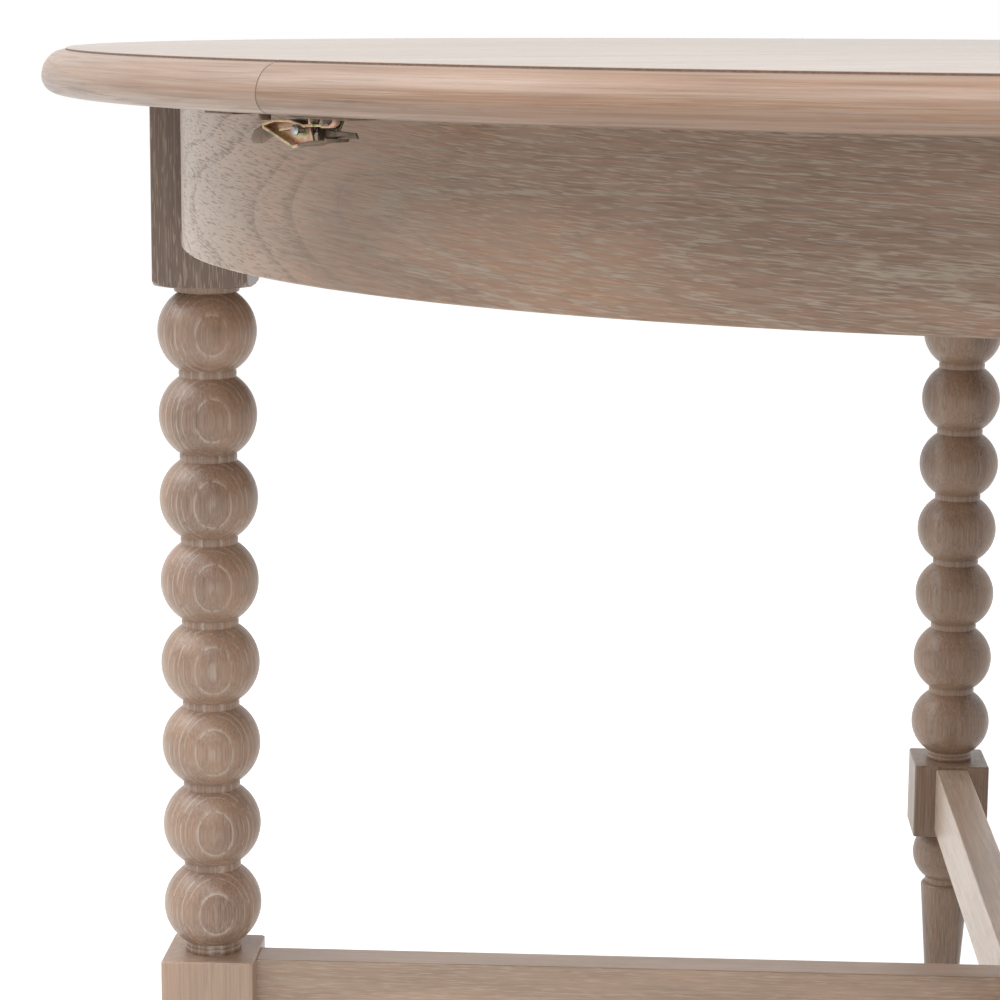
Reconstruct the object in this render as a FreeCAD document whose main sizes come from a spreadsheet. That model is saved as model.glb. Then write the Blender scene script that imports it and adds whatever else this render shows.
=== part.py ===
import FreeCAD, Part
import Sketcher
import math
import os

from FreeCAD import Placement, Rotation, Vector

# Round extending dining table, in millimetres.
# The origin is on the floor under the middle of the table and +Z is up.
# The halves of the top part at X = 0 and slide along X, left is -X and front is -Y.

SIZES = {
    # The top
    "table_height": 760.0,
    "top_radius": 600.0,
    "rim_over_reach": 14.0,
    "rim_under_reach": 8.8,
    "top_thickness": 25.0,
    "quirk_depth": 1.2,
    "girth_drop": 16.0,
    "parting_gap": 0.5,
    "top_running_gap": 0.8,
    "half_travel": 200.0,
    # The ring of aprons
    "apron_thickness": 22.0,
    "apron_depth": 88.0,
    "apron_setback": 78.0,
    "apron_edge_radius": 1.0,
    # The legs
    "block_width": 58.0,
    "block_below_apron_length": 30.7,
    "leg_setback": 8.0,
    "block_edge_radius": 1.5,
    "shoulder_round_radius": 12.0,
    "shoulder_margin": 2.0,
    "neck_ring_radius": 20.0,
    "neck_ring_length": 2.2,
    "bead_count": 8.0,
    "bead_radius": 30.4,
    "collar_radius": 17.5,
    "collar_length": 4.5,
    "lower_neck_length": 4.8,
    "stretcher_block_height": 192.8,
    "stretcher_block_depth": 57.8,
    "bun_radius": 26.2,
    "bun_length": 40.0,
    "ankle_radius": 16.0,
    "ankle_length": 4.5,
    "foot_top_radius": 19.0,
    "foot_base_radius": 13.0,
    # The glides under the legs
    "glide_radius": 7.5,
    "glide_thickness": 3.0,
    "glide_pin_radius": 2.0,
    "glide_pin_length": 12.0,
    # The crossed stretchers
    "stretcher_width": 25.0,
    "stretcher_depth": 50.0,
    "stretcher_reveal": 2.7,
    "stretcher_edge_radius": 1.2,
    "tenon_thickness": 9.0,
    "tenon_depth": 36.0,
    "tenon_length": 24.0,
    "joint_clearance": 0.1,
    # The corner braces and their bolts
    "brace_width": 108.0,
    "brace_reach": 45.0,
    "brace_depth": 44.0,
    "brace_clearance": 3.0,
    "bolt_radius": 4.0,
    "bolt_leg_length": 27.0,
    "bolt_hole_spare_length": 5.0,
    "bolt_tail_length": 7.0,
    "washer_radius": 10.0,
    "washer_thickness": 1.6,
    "nut_width": 13.0,
    "nut_thickness": 6.5,
    # The cross rails under the slides
    "cross_rail_width": 40.0,
    "cross_rail_inset": 10.0,
    "cross_rail_depth": 26.0,
    # The guide rails and runners
    "tongue_reach": 6.5,
    "tongue_depth": 6.0,
    "tongue_drop": 11.0,
    "groove_end_gap": 1.4,
    "guide_margin": 40.0,
    "guide_end_gap": 1.97,
    "slide_clearance": 0.3,
    "runner_gap": 1.0,
    "runner_width": 20.0,
    "runner_floor_thickness": 6.0,
    "runner_outer_reach": 110.0,
    "runner_overlap_length": 8.0,
    "stop_radius": 3.0,
    "stop_seat_depth": 12.0,
    "stop_bite_depth": 3.0,
    "stop_clearance": 1.0,
    # The racks and pinions that keep the halves in step
    "pinion_teeth": 16.0,
    "gear_module": 1.5,
    "gear_backlash_gap": 0.35,
    "gear_face_width": 8.0,
    "rack_thickness": 5.0,
    "rack_side_gap": 0.5,
    "rack_end_gap": 2.0,
    "rack_drop": 26.0,
    "window_clearance": 0.5,
    "axle_radius": 2.5,
    "axle_clearance": 0.05,
    "axle_length": 34.0,
    # The folded leaf in its well
    "leaf_side_gap": 0.5,
    "leaf_top_gap": 2.6,
    "hinge_plate_length": 60.0,
    "hinge_plate_width": 26.0,
    "hinge_plate_thickness": 1.5,
    "hinge_fold_gap": 0.6,
    "hinge_pin_radius": 1.5,
    "hinge_barrel_radius": 3.0,
    "hinge_barrel_gap": 0.6,
    "hinge_offset": 120.0,
    "hinge_clearance": 0.2,
    "cleat_width": 8.0,
    "cleat_height": 12.0,
    "cleat_length": 40.0,
    "cleat_offset": 240.0,
    "cleat_gap": 0.5,
    # The alignment pins in the parting edges
    "pin_radius": 4.0,
    "pin_seat_depth": 22.0,
    "pin_reach": 12.0,
    "pin_clearance": 0.08,
    "bush_radius": 6.0,
    "bush_length": 16.0,
    "pin_inner_offset": 150.0,
    "pin_outer_offset": 450.0,
    # The two latches under the parting line
    "latch_plate_near_offset": 4.0,
    "latch_plate_far_offset": 48.0,
    "latch_plate_width": 26.0,
    "latch_inset": 28.0,
    "latch_plate_thickness": 1.5,
    "ear_near_offset": 4.0,
    "ear_far_offset": 18.0,
    "ear_drop": 11.0,
    "pivot_offset": 8.0,
    "pivot_drop": 7.0,
    "lever_width": 18.0,
    "lever_side_gap": 1.0,
    "eye_radius": 3.6,
    "latch_pin_radius": 2.0,
    "latch_pin_clearance": 0.08,
    "latch_pin_head_height": 1.0,
    "latch_pin_head_radius": 3.0,
    "tail_reach": 37.0,
    "strip_reach": 18.0,
    "heel_offset": 3.0,
    "heel_drop": 14.0,
    "belly_offset": 11.0,
    "belly_drop": 16.6,
    "nose_offset": 32.0,
    "nose_drop": 5.8,
    "return_offset": 8.0,
    "return_drop": 4.8,
    "latch_tongue_thickness": 1.2,
    "latch_tongue_gap": 0.6,
    "latch_tongue_near_offset": 1.0,
    "latch_tongue_bend_offset": 16.0,
    "latch_tongue_reach": 44.0,
    "latch_tongue_drop": 13.0,
    "latch_tongue_lip_height": 5.4,
    "rivet_offset": 6.0,
    "rivet_radius": 2.0,
    "rivet_head_radius": 3.4,
    "rivet_head_height": 1.4,
    "catch_near_offset": 37.4,
    "catch_far_offset": 60.0,
    "catch_plate_thickness": 1.2,
    "catch_lip_drop": 4.4,
    "catch_lip_width": 15.0,
    # The wood screws
    "screw_radius": 2.0,
    "screw_head_radius": 4.0,
    "screw_head_height": 2.4,
    "screw_clearance": 0.05,
    "runner_screw_bite_depth": 16.0,
    "runner_screw_near_offset": 30.0,
    "runner_screw_far_offset": 90.0,
    "rail_screw_bite_depth": 20.0,
    "plate_screw_length": 14.0,
    "plate_screw_side_offset": 8.6,
    "plate_screw_near_offset": 26.0,
    "plate_screw_far_offset": 42.0,
    "catch_screw_offset": 51.0,
    "overrun": 5.0,
}

doc = FreeCAD.newDocument("extending_table")
sheet = doc.addObject("Spreadsheet::Sheet", "sizes")


class Size:
    """A length or ratio with the sheet expression it comes from and its present value."""

    def __init__(self, text, value):
        self.text = text
        self.value = value

    def __add__(self, other):
        other = sized(other)
        return Size(f"({self.text} + {other.text})", self.value + other.value)

    def __radd__(self, other):
        return sized(other) + self

    def __sub__(self, other):
        other = sized(other)
        return Size(f"({self.text} - {other.text})", self.value - other.value)

    def __rsub__(self, other):
        return sized(other) - self

    def __mul__(self, other):
        other = sized(other)
        return Size(f"({self.text} * {other.text})", self.value * other.value)

    def __rmul__(self, other):
        return sized(other) * self

    def __truediv__(self, other):
        other = sized(other)
        return Size(f"({self.text} / {other.text})", self.value / other.value)

    def __neg__(self):
        return sized(0) - self


def sized(number):
    """A plain number as a Size."""
    if isinstance(number, Size):
        return number
    return Size(repr(float(number)), float(number))


def arc_radius(bulge, half_chord):
    """The radius of an arc from its bulge and half its chord."""
    return (bulge * bulge + half_chord * half_chord) / (bulge * 2)


class Sizes:
    """The sheet's cells, each by its alias."""

    def __init__(self, table):
        for row, (alias, value) in enumerate(table.items(), start=1):
            sheet.set(f"A{row}", alias.replace("_", " "))
            sheet.set(f"B{row}", str(value))
            sheet.setAlias(f"B{row}", alias)
            setattr(self, alias, Size(f"sizes.{alias}", value))


mm = Sizes(SIZES)
doc.recompute()

# Places of the ring and the legs
under_top = mm.table_height - mm.top_thickness
frame_top = under_top - mm.top_running_gap
apron_bottom = frame_top - mm.apron_depth
apron_radius = mm.top_radius - mm.apron_setback
apron_inner = apron_radius - mm.apron_thickness
leg_circle = apron_radius - mm.leg_setback
half_block = mm.block_width / 2
leg_inner = leg_circle - half_block
top_block_bottom = apron_bottom - mm.block_below_apron_length
bead_bottom = mm.stretcher_block_height + mm.lower_neck_length
bead_pitch = (top_block_bottom - mm.neck_ring_length - bead_bottom) / mm.bead_count
stretcher_top = mm.stretcher_block_height - mm.stretcher_reveal
stretcher_block_bottom = mm.stretcher_block_height - mm.stretcher_block_depth

# Places of the slides under the top
DIAGONAL = math.sqrt(2)
half_gap = mm.parting_gap / 2
fold_gap = mm.hinge_plate_thickness * 2 + mm.hinge_fold_gap
rail_top = frame_top - mm.top_thickness * 2 - fold_gap - mm.leaf_top_gap
rack_bottom = under_top - mm.rack_drop - mm.gear_face_width
runner_bottom = rack_bottom - mm.runner_floor_thickness
brace_top = runner_bottom - mm.brace_clearance
brace_face = apron_inner - mm.brace_reach
bolt_height = brace_top - mm.brace_depth / 2
pitch_radius = mm.gear_module * mm.pinion_teeth / 2
guide_half_width = pitch_radius - mm.gear_module - mm.rack_side_gap
runner_side = guide_half_width + mm.runner_gap
tongue_end = guide_half_width + mm.tongue_reach
tongue_top = frame_top - mm.tongue_drop + mm.tongue_depth / 2
leaf_half_length = mm.top_radius / 2
leaf_half_width = mm.half_travel - mm.leaf_side_gap
guide_offset = leaf_half_length + mm.guide_margin
guide_half_length = brace_face * DIAGONAL - guide_offset - tongue_end - mm.guide_end_gap
cross_rail_offset = mm.half_travel - mm.cross_rail_inset
latch_offset = mm.top_radius - mm.latch_inset
LEG_ANGLES = {"front_left": 225, "front_right": 315, "back_right": 45, "back_left": 135}
SIDES = {"front": -1, "back": 1}
HALVES = {"left": -1, "right": 1}
QUARTER = 90
HALF_TURN = 180
FULL_TURN = 360

pieces = []


def bind(thing, **values):
    """Tie each property to its size."""
    for prop, value in values.items():
        thing.setExpression(prop, sized(value).text)
    return thing


def place(thing, x=0, y=0, z=0):
    """Tie the place of a thing's own corner or centre."""
    for axis, value in (("x", x), ("y", y), ("z", z)):
        thing.setExpression(f"Placement.Base.{axis}", sized(value).text)
    return thing


def piece(shape, node):
    """Name a finished sub-part and keep it for export."""
    shape.Label = node
    pieces.append(shape)
    return shape


def block(x0, x1, y0, y1, z0, z1):
    """A box between two corners."""
    box = doc.addObject("Part::Box", "block")
    bind(box, Length=sized(x1) - x0, Width=sized(y1) - y0, Height=sized(z1) - z0)
    return place(box, x0, y0, z0)


def rod(radius, z0, z1, x=0, y=0):
    """An upright cylinder between two heights."""
    cylinder = doc.addObject("Part::Cylinder", "rod")
    bind(cylinder, Radius=radius, Height=sized(z1) - z0)
    return place(cylinder, x, y, z0)


def cone(radius0, radius1, z0, z1, x=0, y=0):
    """An upright cone between two heights."""
    shape = doc.addObject("Part::Cone", "cone")
    bind(shape, Radius1=radius0, Radius2=radius1, Height=sized(z1) - z0)
    return place(shape, x, y, z0)


def cross_pin(radius, x, y0, y1, z):
    """A cylinder that lies along Y."""
    cylinder = doc.addObject("Part::Cylinder", "cross_pin")
    bind(cylinder, Radius=radius, Height=sized(y1) - y0)
    cylinder.Placement = Placement(Vector(), Rotation(Vector(1, 0, 0), -QUARTER))
    return place(cylinder, x, y0, z)


def long_pin(radius, x0, x1, y, z):
    """A cylinder that lies along X."""
    cylinder = doc.addObject("Part::Cylinder", "long_pin")
    bind(cylinder, Radius=radius, Height=sized(x1) - x0)
    cylinder.Placement = Placement(Vector(), Rotation(Vector(0, 1, 0), QUARTER))
    return place(cylinder, x0, y, z)


def fuse(shapes):
    """The union of several shapes."""
    if len(shapes) == 1:
        return shapes[0]
    joined = doc.addObject("Part::MultiFuse", "fused")
    joined.Shapes = shapes
    joined.Refine = True
    return joined


def cut(base, tools):
    """The base with the tools taken away."""
    result = doc.addObject("Part::Cut", "cut")
    result.Base = base
    result.Tool = fuse(tools)
    return result


def common(first, second):
    """What two shapes share."""
    result = doc.addObject("Part::MultiCommon", "common")
    result.Shapes = [first, second]
    return result


def group(shapes):
    """Separate solids kept as one sub-part."""
    result = doc.addObject("Part::Compound", "group")
    result.Links = shapes
    return result


def turned(shape, degrees):
    """The shape turned about the table's upright axis."""
    shape.Placement = Placement(Vector(), Rotation(Vector(0, 0, 1), degrees))
    return shape


def plane_of(body, role):
    """One of a body's own origin planes."""
    return next(item for item in body.Origin.OriginFeatures if item.Role == role)


def anchor(sketch, geometry, point, across, up):
    """Tie one sketch point to its place from the sketch's origin."""
    for kind, value in (("DistanceX", across), ("DistanceY", up)):
        value = sized(value)
        if value.value == 0:
            axis = -2 if kind == "DistanceX" else -1
            sketch.addConstraint(Sketcher.Constraint("PointOnObject", geometry, point, axis))
            continue
        if value.value > 0:
            index = sketch.addConstraint(Sketcher.Constraint(kind, -1, 1, geometry, point, value.value))
            sketch.setExpression(f"Constraints[{index}]", value.text)
        else:
            index = sketch.addConstraint(Sketcher.Constraint(kind, geometry, point, -1, 1, -value.value))
            sketch.setExpression(f"Constraints[{index}]", (-value).text)


def arc_between(start, end, radius, side):
    """An arc of given radius between two points, and whether it runs from start to end."""
    chord = end - start
    middle = (start + end) / 2
    height = math.sqrt(max(radius ** 2 - (chord.Length / 2) ** 2, 0))
    normal = Vector(-chord.y, chord.x, 0).normalize()
    centre = middle + normal * height * side
    first = math.atan2(start.y - centre.y, start.x - centre.x)
    last = math.atan2(end.y - centre.y, end.x - centre.x)
    forward = side > 0
    if not forward:
        first, last = last, first
    circle = Part.Circle(centre, Vector(0, 0, 1), radius)
    return Part.ArcOfCircle(circle, first, last), forward


def outline(body, role, path):
    """A closed sketch on one origin plane, through (across, up) or (across, up, radius, side) points.

    A point with a radius ends an arc that bulges to the right of its run on side 1.
    """
    sketch = body.newObject("Sketcher::SketchObject", "outline")
    sketch.AttachmentSupport = (plane_of(body, role), [""])
    sketch.MapMode = "FlatFace"
    count = len(path)
    ends = []
    for index, point in enumerate(path):
        before = path[index - 1]
        start = Vector(sized(before[0]).value, sized(before[1]).value, 0)
        end = Vector(sized(point[0]).value, sized(point[1]).value, 0)
        if len(point) == 2:
            geometry = sketch.addGeometry(Part.LineSegment(start, end), False)
            ends.append((geometry, 1, 2))
            continue
        arc, forward = arc_between(start, end, point[2].value, point[3])
        geometry = sketch.addGeometry(arc, False)
        ends.append((geometry, 1, 2) if forward else (geometry, 2, 1))
        radius = sketch.addConstraint(Sketcher.Constraint("Radius", geometry, point[2].value))
        sketch.setExpression(f"Constraints[{radius}]", point[2].text)
    for index in range(count):
        this, following = ends[index], ends[(index + 1) % count]
        sketch.addConstraint(Sketcher.Constraint("Coincident", this[0], this[2], following[0], following[1]))
        anchor(sketch, this[0], this[2], path[index][0], path[index][1])
    return sketch


def revolve(body, sketch, degrees=FULL_TURN):
    """Turn a sketch about its own upright axis."""
    feature = body.newObject("PartDesign::Revolution", "turned")
    feature.Profile = sketch
    feature.ReferenceAxis = (sketch, ["V_Axis"])
    feature.Angle = degrees
    body.Tip = feature
    return feature


def pad(body, sketch, length, midplane=True):
    """Thicken a sketch."""
    feature = body.newObject("PartDesign::Pad", "pad")
    feature.Profile = sketch
    bind(feature, Length=length)
    feature.Midplane = midplane
    body.Tip = feature
    return feature


def box_in(body, kind, x0, x1, y0, y1, z0, z1):
    """A box added to or taken from a body."""
    feature = body.newObject(f"PartDesign::{kind}Box", "box")
    bind(feature, Length=sized(x1) - x0, Width=sized(y1) - y0, Height=sized(z1) - z0)
    for axis, value in (("x", x0), ("y", y0), ("z", z0)):
        feature.setExpression(f"Placement.Base.{axis}", sized(value).text)
    body.Tip = feature
    return feature


def rod_in(body, kind, radius, z0, z1):
    """An upright cylinder on a body's axis, added or taken away."""
    feature = body.newObject(f"PartDesign::{kind}Cylinder", "rod")
    bind(feature, Radius=radius, Height=sized(z1) - z0)
    feature.setExpression("Placement.Base.z", sized(z0).text)
    body.Tip = feature
    return feature


def rounded(body, radius, chosen):
    """Round the edges of the last feature that the test picks."""
    doc.recompute()
    base = body.Tip
    names = [f"Edge{i}" for i, edge in enumerate(base.Shape.Edges, start=1) if chosen(edge)]
    fillet = body.newObject("PartDesign::Fillet", "rounded")
    fillet.Base = (base, names)
    bind(fillet, Radius=radius)
    body.Tip = fillet
    return fillet


def block_arris(edge):
    """Whether an edge is one of the upright corners of a leg's blocks."""
    middle = edge.valueAt((edge.FirstParameter + edge.LastParameter) / 2)
    away = max(abs(abs(middle.x) - half_block.value), abs(abs(middle.y) - half_block.value))
    return away < mm.joint_clearance.value and isinstance(edge.Curve, (Part.Line, Part.LineSegment))


# The turned and squared legs

def leg(node, degrees):
    """A leg about its own axis, with +X pointing away from the table's middle."""
    body = doc.addObject("PartDesign::Body", node)
    collar_half = mm.collar_length / 2
    bead_half = bead_pitch / 2 - collar_half
    bead = outline(body, "XZ_Plane", [
        (0, bead_bottom),
        (mm.collar_radius, bead_bottom),
        (mm.collar_radius, bead_bottom + collar_half),
        (mm.collar_radius, bead_bottom + bead_pitch - collar_half,
         arc_radius(mm.bead_radius - mm.collar_radius, bead_half), 1),
        (mm.collar_radius, bead_bottom + bead_pitch),
        (0, bead_bottom + bead_pitch),
    ])
    first_bead = revolve(body, bead)
    beads = body.newObject("PartDesign::LinearPattern", "beads")
    beads.Originals = [first_bead]
    beads.Direction = (bead, ["V_Axis"])
    bind(beads, Length=(mm.bead_count - 1) * bead_pitch, Occurrences=mm.bead_count)
    body.Tip = beads
    ring_bottom = top_block_bottom - mm.neck_ring_length
    rod_in(body, "Additive", mm.neck_ring_radius, ring_bottom, top_block_bottom)
    box_in(body, "Additive", -half_block, half_block, -half_block, half_block, top_block_bottom, frame_top)
    corner = half_block * 2
    shoulder_radius = half_block + mm.shoulder_margin
    groove = outline(body, "XZ_Plane", [
        (shoulder_radius, top_block_bottom - mm.overrun),
        (corner, top_block_bottom - mm.overrun),
        (corner, top_block_bottom + mm.shoulder_round_radius),
        (shoulder_radius + mm.shoulder_round_radius, top_block_bottom + mm.shoulder_round_radius),
        (shoulder_radius, top_block_bottom, mm.shoulder_round_radius, -1),
    ])
    shoulder = body.newObject("PartDesign::Groove", "shoulder")
    shoulder.Profile = groove
    shoulder.ReferenceAxis = (groove, ["V_Axis"])
    shoulder.Angle = FULL_TURN
    body.Tip = shoulder
    rod_in(body, "Additive", mm.collar_radius, mm.stretcher_block_height, bead_bottom)
    box_in(body, "Additive", -half_block, half_block, -half_block, half_block,
           stretcher_block_bottom, mm.stretcher_block_height)
    bun_bottom = stretcher_block_bottom - mm.bun_length
    ankle_bottom = bun_bottom - mm.ankle_length
    foot_shoulder = mm.foot_top_radius - mm.ankle_radius
    foot = outline(body, "XZ_Plane", [
        (0, mm.glide_thickness),
        (mm.foot_base_radius, mm.glide_thickness),
        (mm.foot_top_radius, ankle_bottom - foot_shoulder),
        (mm.ankle_radius, ankle_bottom, foot_shoulder, 1),
        (mm.ankle_radius, bun_bottom),
        (mm.ankle_radius, stretcher_block_bottom,
         arc_radius(mm.bun_radius - mm.ankle_radius, mm.bun_length / 2), 1),
        (0, stretcher_block_bottom),
    ])
    revolve(body, foot)
    rounded(body, mm.block_edge_radius, block_arris)
    mortise_half = mm.tenon_thickness / 2 + mm.joint_clearance
    tenon_top = stretcher_top - (mm.stretcher_depth - mm.tenon_depth) / 2
    box_in(body, "Subtractive", -half_block - mm.overrun, mm.tenon_length - half_block + mm.joint_clearance,
           -mortise_half, mortise_half,
           tenon_top - mm.tenon_depth - mm.joint_clearance, tenon_top + mm.joint_clearance)
    glide_bore = mm.glide_pin_radius + mm.joint_clearance
    rod_in(body, "Subtractive", glide_bore, 0, mm.glide_thickness + mm.glide_pin_length + mm.joint_clearance)
    bolt_hole = body.newObject("PartDesign::SubtractiveCylinder", "bolt_hole")
    bind(bolt_hole, Radius=mm.bolt_radius + mm.screw_clearance,
         Height=mm.bolt_leg_length + mm.bolt_hole_spare_length + mm.overrun)
    bolt_hole.Placement = Placement(Vector(), Rotation(Vector(0, 1, 0), QUARTER))
    bolt_hole.setExpression("Placement.Base.x", (-half_block - mm.overrun).text)
    bolt_hole.setExpression("Placement.Base.z", bolt_height.text)
    body.Tip = bolt_hole
    radians = math.radians(degrees)
    body.Placement = Placement(Vector(), Rotation(Vector(0, 0, 1), degrees))
    body.setExpression("Placement.Base.x", (leg_circle * math.cos(radians)).text)
    body.setExpression("Placement.Base.y", (leg_circle * math.sin(radians)).text)
    return piece(body, node)


for corner_name, leg_angle in LEG_ANGLES.items():
    leg(f"leg_{corner_name}", leg_angle)


# The glides under the feet

def glide(degrees):
    """A disc with a pin that is driven up into the foot."""
    radians = math.radians(degrees)
    x, y = leg_circle * math.cos(radians), leg_circle * math.sin(radians)
    disc = rod(mm.glide_radius, 0, mm.glide_thickness, x, y)
    pin = rod(mm.glide_pin_radius, 0, mm.glide_thickness + mm.glide_pin_length, x, y)
    return fuse([disc, pin])


piece(group([glide(leg_angle) for leg_angle in LEG_ANGLES.values()]), "floor_glides")


# The crossed stretchers, halved into each other at the middle

def stretcher(node, degrees, keeps_top):
    """A rail between two opposite legs, with a tenon at each end."""
    half_width = mm.stretcher_width / 2
    bottom = stretcher_top - mm.stretcher_depth
    body = doc.addObject("PartDesign::Body", node)
    box_in(body, "Additive", -leg_inner, leg_inner, -half_width, half_width, bottom, stretcher_top)
    rounded(body, mm.stretcher_edge_radius, lambda edge: edge.Length > leg_inner.value)
    tenon_end = leg_inner + mm.tenon_length
    tenon_top = stretcher_top - (mm.stretcher_depth - mm.tenon_depth) / 2
    tenon_half = mm.tenon_thickness / 2
    box_in(body, "Additive", -tenon_end, tenon_end, -tenon_half, tenon_half,
           tenon_top - mm.tenon_depth, tenon_top)
    middle = stretcher_top - mm.stretcher_depth / 2
    slot = half_width + mm.joint_clearance
    if keeps_top:
        box_in(body, "Subtractive", -slot, slot, -slot, slot, bottom - mm.overrun, middle)
    else:
        box_in(body, "Subtractive", -slot, slot, -slot, slot, middle, stretcher_top + mm.overrun)
    return piece(turned(body, degrees), node)


stretcher("stretcher_over", LEG_ANGLES["front_left"], True)
stretcher("stretcher_under", LEG_ANGLES["front_right"], False)


# The four curved aprons between the legs

def apron(node, degrees):
    """A quarter of the ring, cut square where it meets the legs at both ends."""
    ring = []
    for radius, low, high in ((apron_radius, apron_bottom, frame_top),
                              (apron_inner, apron_bottom - mm.overrun, frame_top + mm.overrun)):
        shape = rod(radius, low, high)
        shape.Angle = QUARTER
        ring.append(shape)
    ring[1].Angle = HALF_TURN
    ring[1].Placement = Placement(Vector(), Rotation(Vector(0, 0, 1), -QUARTER / 2))
    ring[1].setExpression("Placement.Base.z", (apron_bottom - mm.overrun).text)
    reach = apron_radius + mm.overrun
    low, high = apron_bottom - mm.overrun, frame_top + mm.overrun
    first_leg = block(0, reach, -half_block, half_block, low, high)
    second_leg = block(-half_block, half_block, 0, reach, low, high)
    shape = cut(ring[0], [ring[1], first_leg, second_leg])
    doc.recompute()
    names = []
    for index, edge in enumerate(shape.Shape.Edges, start=1):
        low_edge = edge.BoundBox.ZMax < apron_bottom.value + mm.apron_edge_radius.value
        if low_edge and not isinstance(edge.Curve, (Part.Line, Part.LineSegment)):
            names.append((index, mm.apron_edge_radius.value, mm.apron_edge_radius.value))
    eased = doc.addObject("Part::Fillet", "eased")
    eased.Base = shape
    eased.Edges = names
    return piece(turned(eased, degrees), node)


for apron_name, apron_start in (("right", -QUARTER / 2), ("back", QUARTER / 2),
                                ("left", QUARTER * 3 / 2), ("front", QUARTER * 5 / 2)):
    apron(f"apron_{apron_name}", apron_start)


# The corner braces behind the legs, each bolted to its leg

HEXAGON_SIDES = 6


def corner_brace(node, degrees):
    """A block glued behind two aprons and notched round the leg."""
    half_width = mm.brace_width / 2
    body = common(block(brace_face, apron_radius, -half_width, half_width,
                        brace_top - mm.brace_depth, brace_top),
                  rod(apron_inner, brace_top - mm.brace_depth - mm.overrun, brace_top + mm.overrun))
    leg_space = block(leg_inner, apron_radius + mm.overrun, -half_block, half_block,
                      brace_top - mm.brace_depth - mm.overrun, brace_top + mm.overrun)
    hole = long_pin(mm.bolt_radius + mm.screw_clearance, brace_face - mm.overrun, leg_inner + mm.overrun,
                    0, bolt_height)
    return piece(turned(cut(body, [leg_space, hole]), degrees), node)


def hanger_bolt(degrees):
    """A stud driven into the leg, with its tail through the brace."""
    start = brace_face - mm.washer_thickness - mm.nut_thickness - mm.bolt_tail_length
    end = leg_inner + mm.bolt_leg_length
    return turned(group([long_pin(mm.bolt_radius, start, end, 0, bolt_height)]), degrees)


def washer(degrees):
    """A flat washer on the brace's inner face."""
    disc = long_pin(mm.washer_radius, brace_face - mm.washer_thickness, brace_face, 0, bolt_height)
    hole = long_pin(mm.bolt_radius + mm.screw_clearance, brace_face - mm.overrun, brace_face + mm.overrun,
                    0, bolt_height)
    return turned(cut(disc, [hole]), degrees)


def nut(degrees):
    """A hexagon nut on the bolt's tail."""
    outer = brace_face - mm.washer_thickness
    hexagon = doc.addObject("Part::Prism", "hexagon")
    hexagon.Polygon = HEXAGON_SIDES
    bind(hexagon, Circumradius=mm.nut_width / (math.cos(math.pi / HEXAGON_SIDES) * 2),
         Height=mm.nut_thickness)
    hexagon.Placement = Placement(Vector(), Rotation(Vector(0, 1, 0), QUARTER))
    place(hexagon, outer - mm.nut_thickness, 0, bolt_height)
    hole = long_pin(mm.bolt_radius + mm.screw_clearance, outer - mm.nut_thickness - mm.overrun,
                    outer + mm.overrun, 0, bolt_height)
    return turned(cut(hexagon, [hole]), degrees)


for corner_name, leg_angle in LEG_ANGLES.items():
    corner_brace(f"corner_brace_{corner_name}", leg_angle)
piece(group([hanger_bolt(leg_angle) for leg_angle in LEG_ANGLES.values()]), "hanger_bolts")
piece(group([washer(leg_angle) for leg_angle in LEG_ANGLES.values()]), "bolt_washers")
piece(group([nut(leg_angle) for leg_angle in LEG_ANGLES.values()]), "bolt_nuts")


# Wood screws and the holes that they need

def screw(x, y, head, tip, clearance=0):
    """A countersunk screw between two heights, its head at the first, with an optional clearance."""
    way = 1 if tip.value > head.value else -1
    radius = mm.screw_radius + clearance
    head_radius = mm.screw_head_radius + clearance
    sink = head + mm.screw_head_height * way
    if way > 0:
        return fuse([cone(head_radius, radius, head, sink, x, y), rod(radius, head, tip, x, y)])
    return fuse([cone(radius, head_radius, sink, head, x, y), rod(radius, tip, head, x, y)])


# The cross rails, let in between the aprons, under the slides and the leaf

rail_screw_head = rail_top - mm.cross_rail_depth
rail_screw_tip = rail_top + mm.rail_screw_bite_depth


def cross_rail(node, side):
    """A rail along Y with its ends shaped to the ring."""
    x = cross_rail_offset * side
    half_width = mm.cross_rail_width / 2
    bar = block(x - half_width, x + half_width, -apron_radius, apron_radius,
                rail_top - mm.cross_rail_depth, rail_top)
    inside = rod(apron_inner, rail_top - mm.cross_rail_depth - mm.overrun, rail_top + mm.overrun)
    holes = [screw(x, guide_offset * way, rail_screw_head, rail_screw_tip, mm.screw_clearance)
             for way in SIDES.values()]
    return piece(cut(common(bar, inside), holes), node)


for half_name, half_side in HALVES.items():
    cross_rail(f"cross_rail_{half_name}", half_side)
piece(group([screw(cross_rail_offset * half_side, guide_offset * way, rail_screw_head, rail_screw_tip)
             for half_side in HALVES.values() for way in SIDES.values()]), "rail_screws")


# The guide rails that carry the runners, with a window for the pinion

axle_bottom = rack_bottom + mm.gear_face_width / 2 - mm.axle_length / 2


def guide_rail(node, side):
    """A rail along X with a tongue on both sides."""
    y = guide_offset * side
    length = guide_half_length
    web = block(-length, length, y - guide_half_width, y + guide_half_width, rail_top, frame_top)
    tongues = block(-length, length, y - tongue_end, y + tongue_end, tongue_top - mm.tongue_depth, tongue_top)
    window = pitch_radius + mm.gear_module + mm.window_clearance * 2
    tools = [
        block(-window, window, y - tongue_end, y + tongue_end,
              rack_bottom - mm.window_clearance, rack_bottom + mm.gear_face_width + mm.window_clearance),
        rod(mm.axle_radius + mm.screw_clearance, rail_top - mm.overrun, axle_bottom + mm.axle_length, 0, y),
    ]
    for way in HALVES.values():
        tools.append(screw(cross_rail_offset * way, y, rail_screw_head, rail_screw_tip, mm.screw_clearance))
    return piece(cut(fuse([web, tongues]), tools), node)


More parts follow.
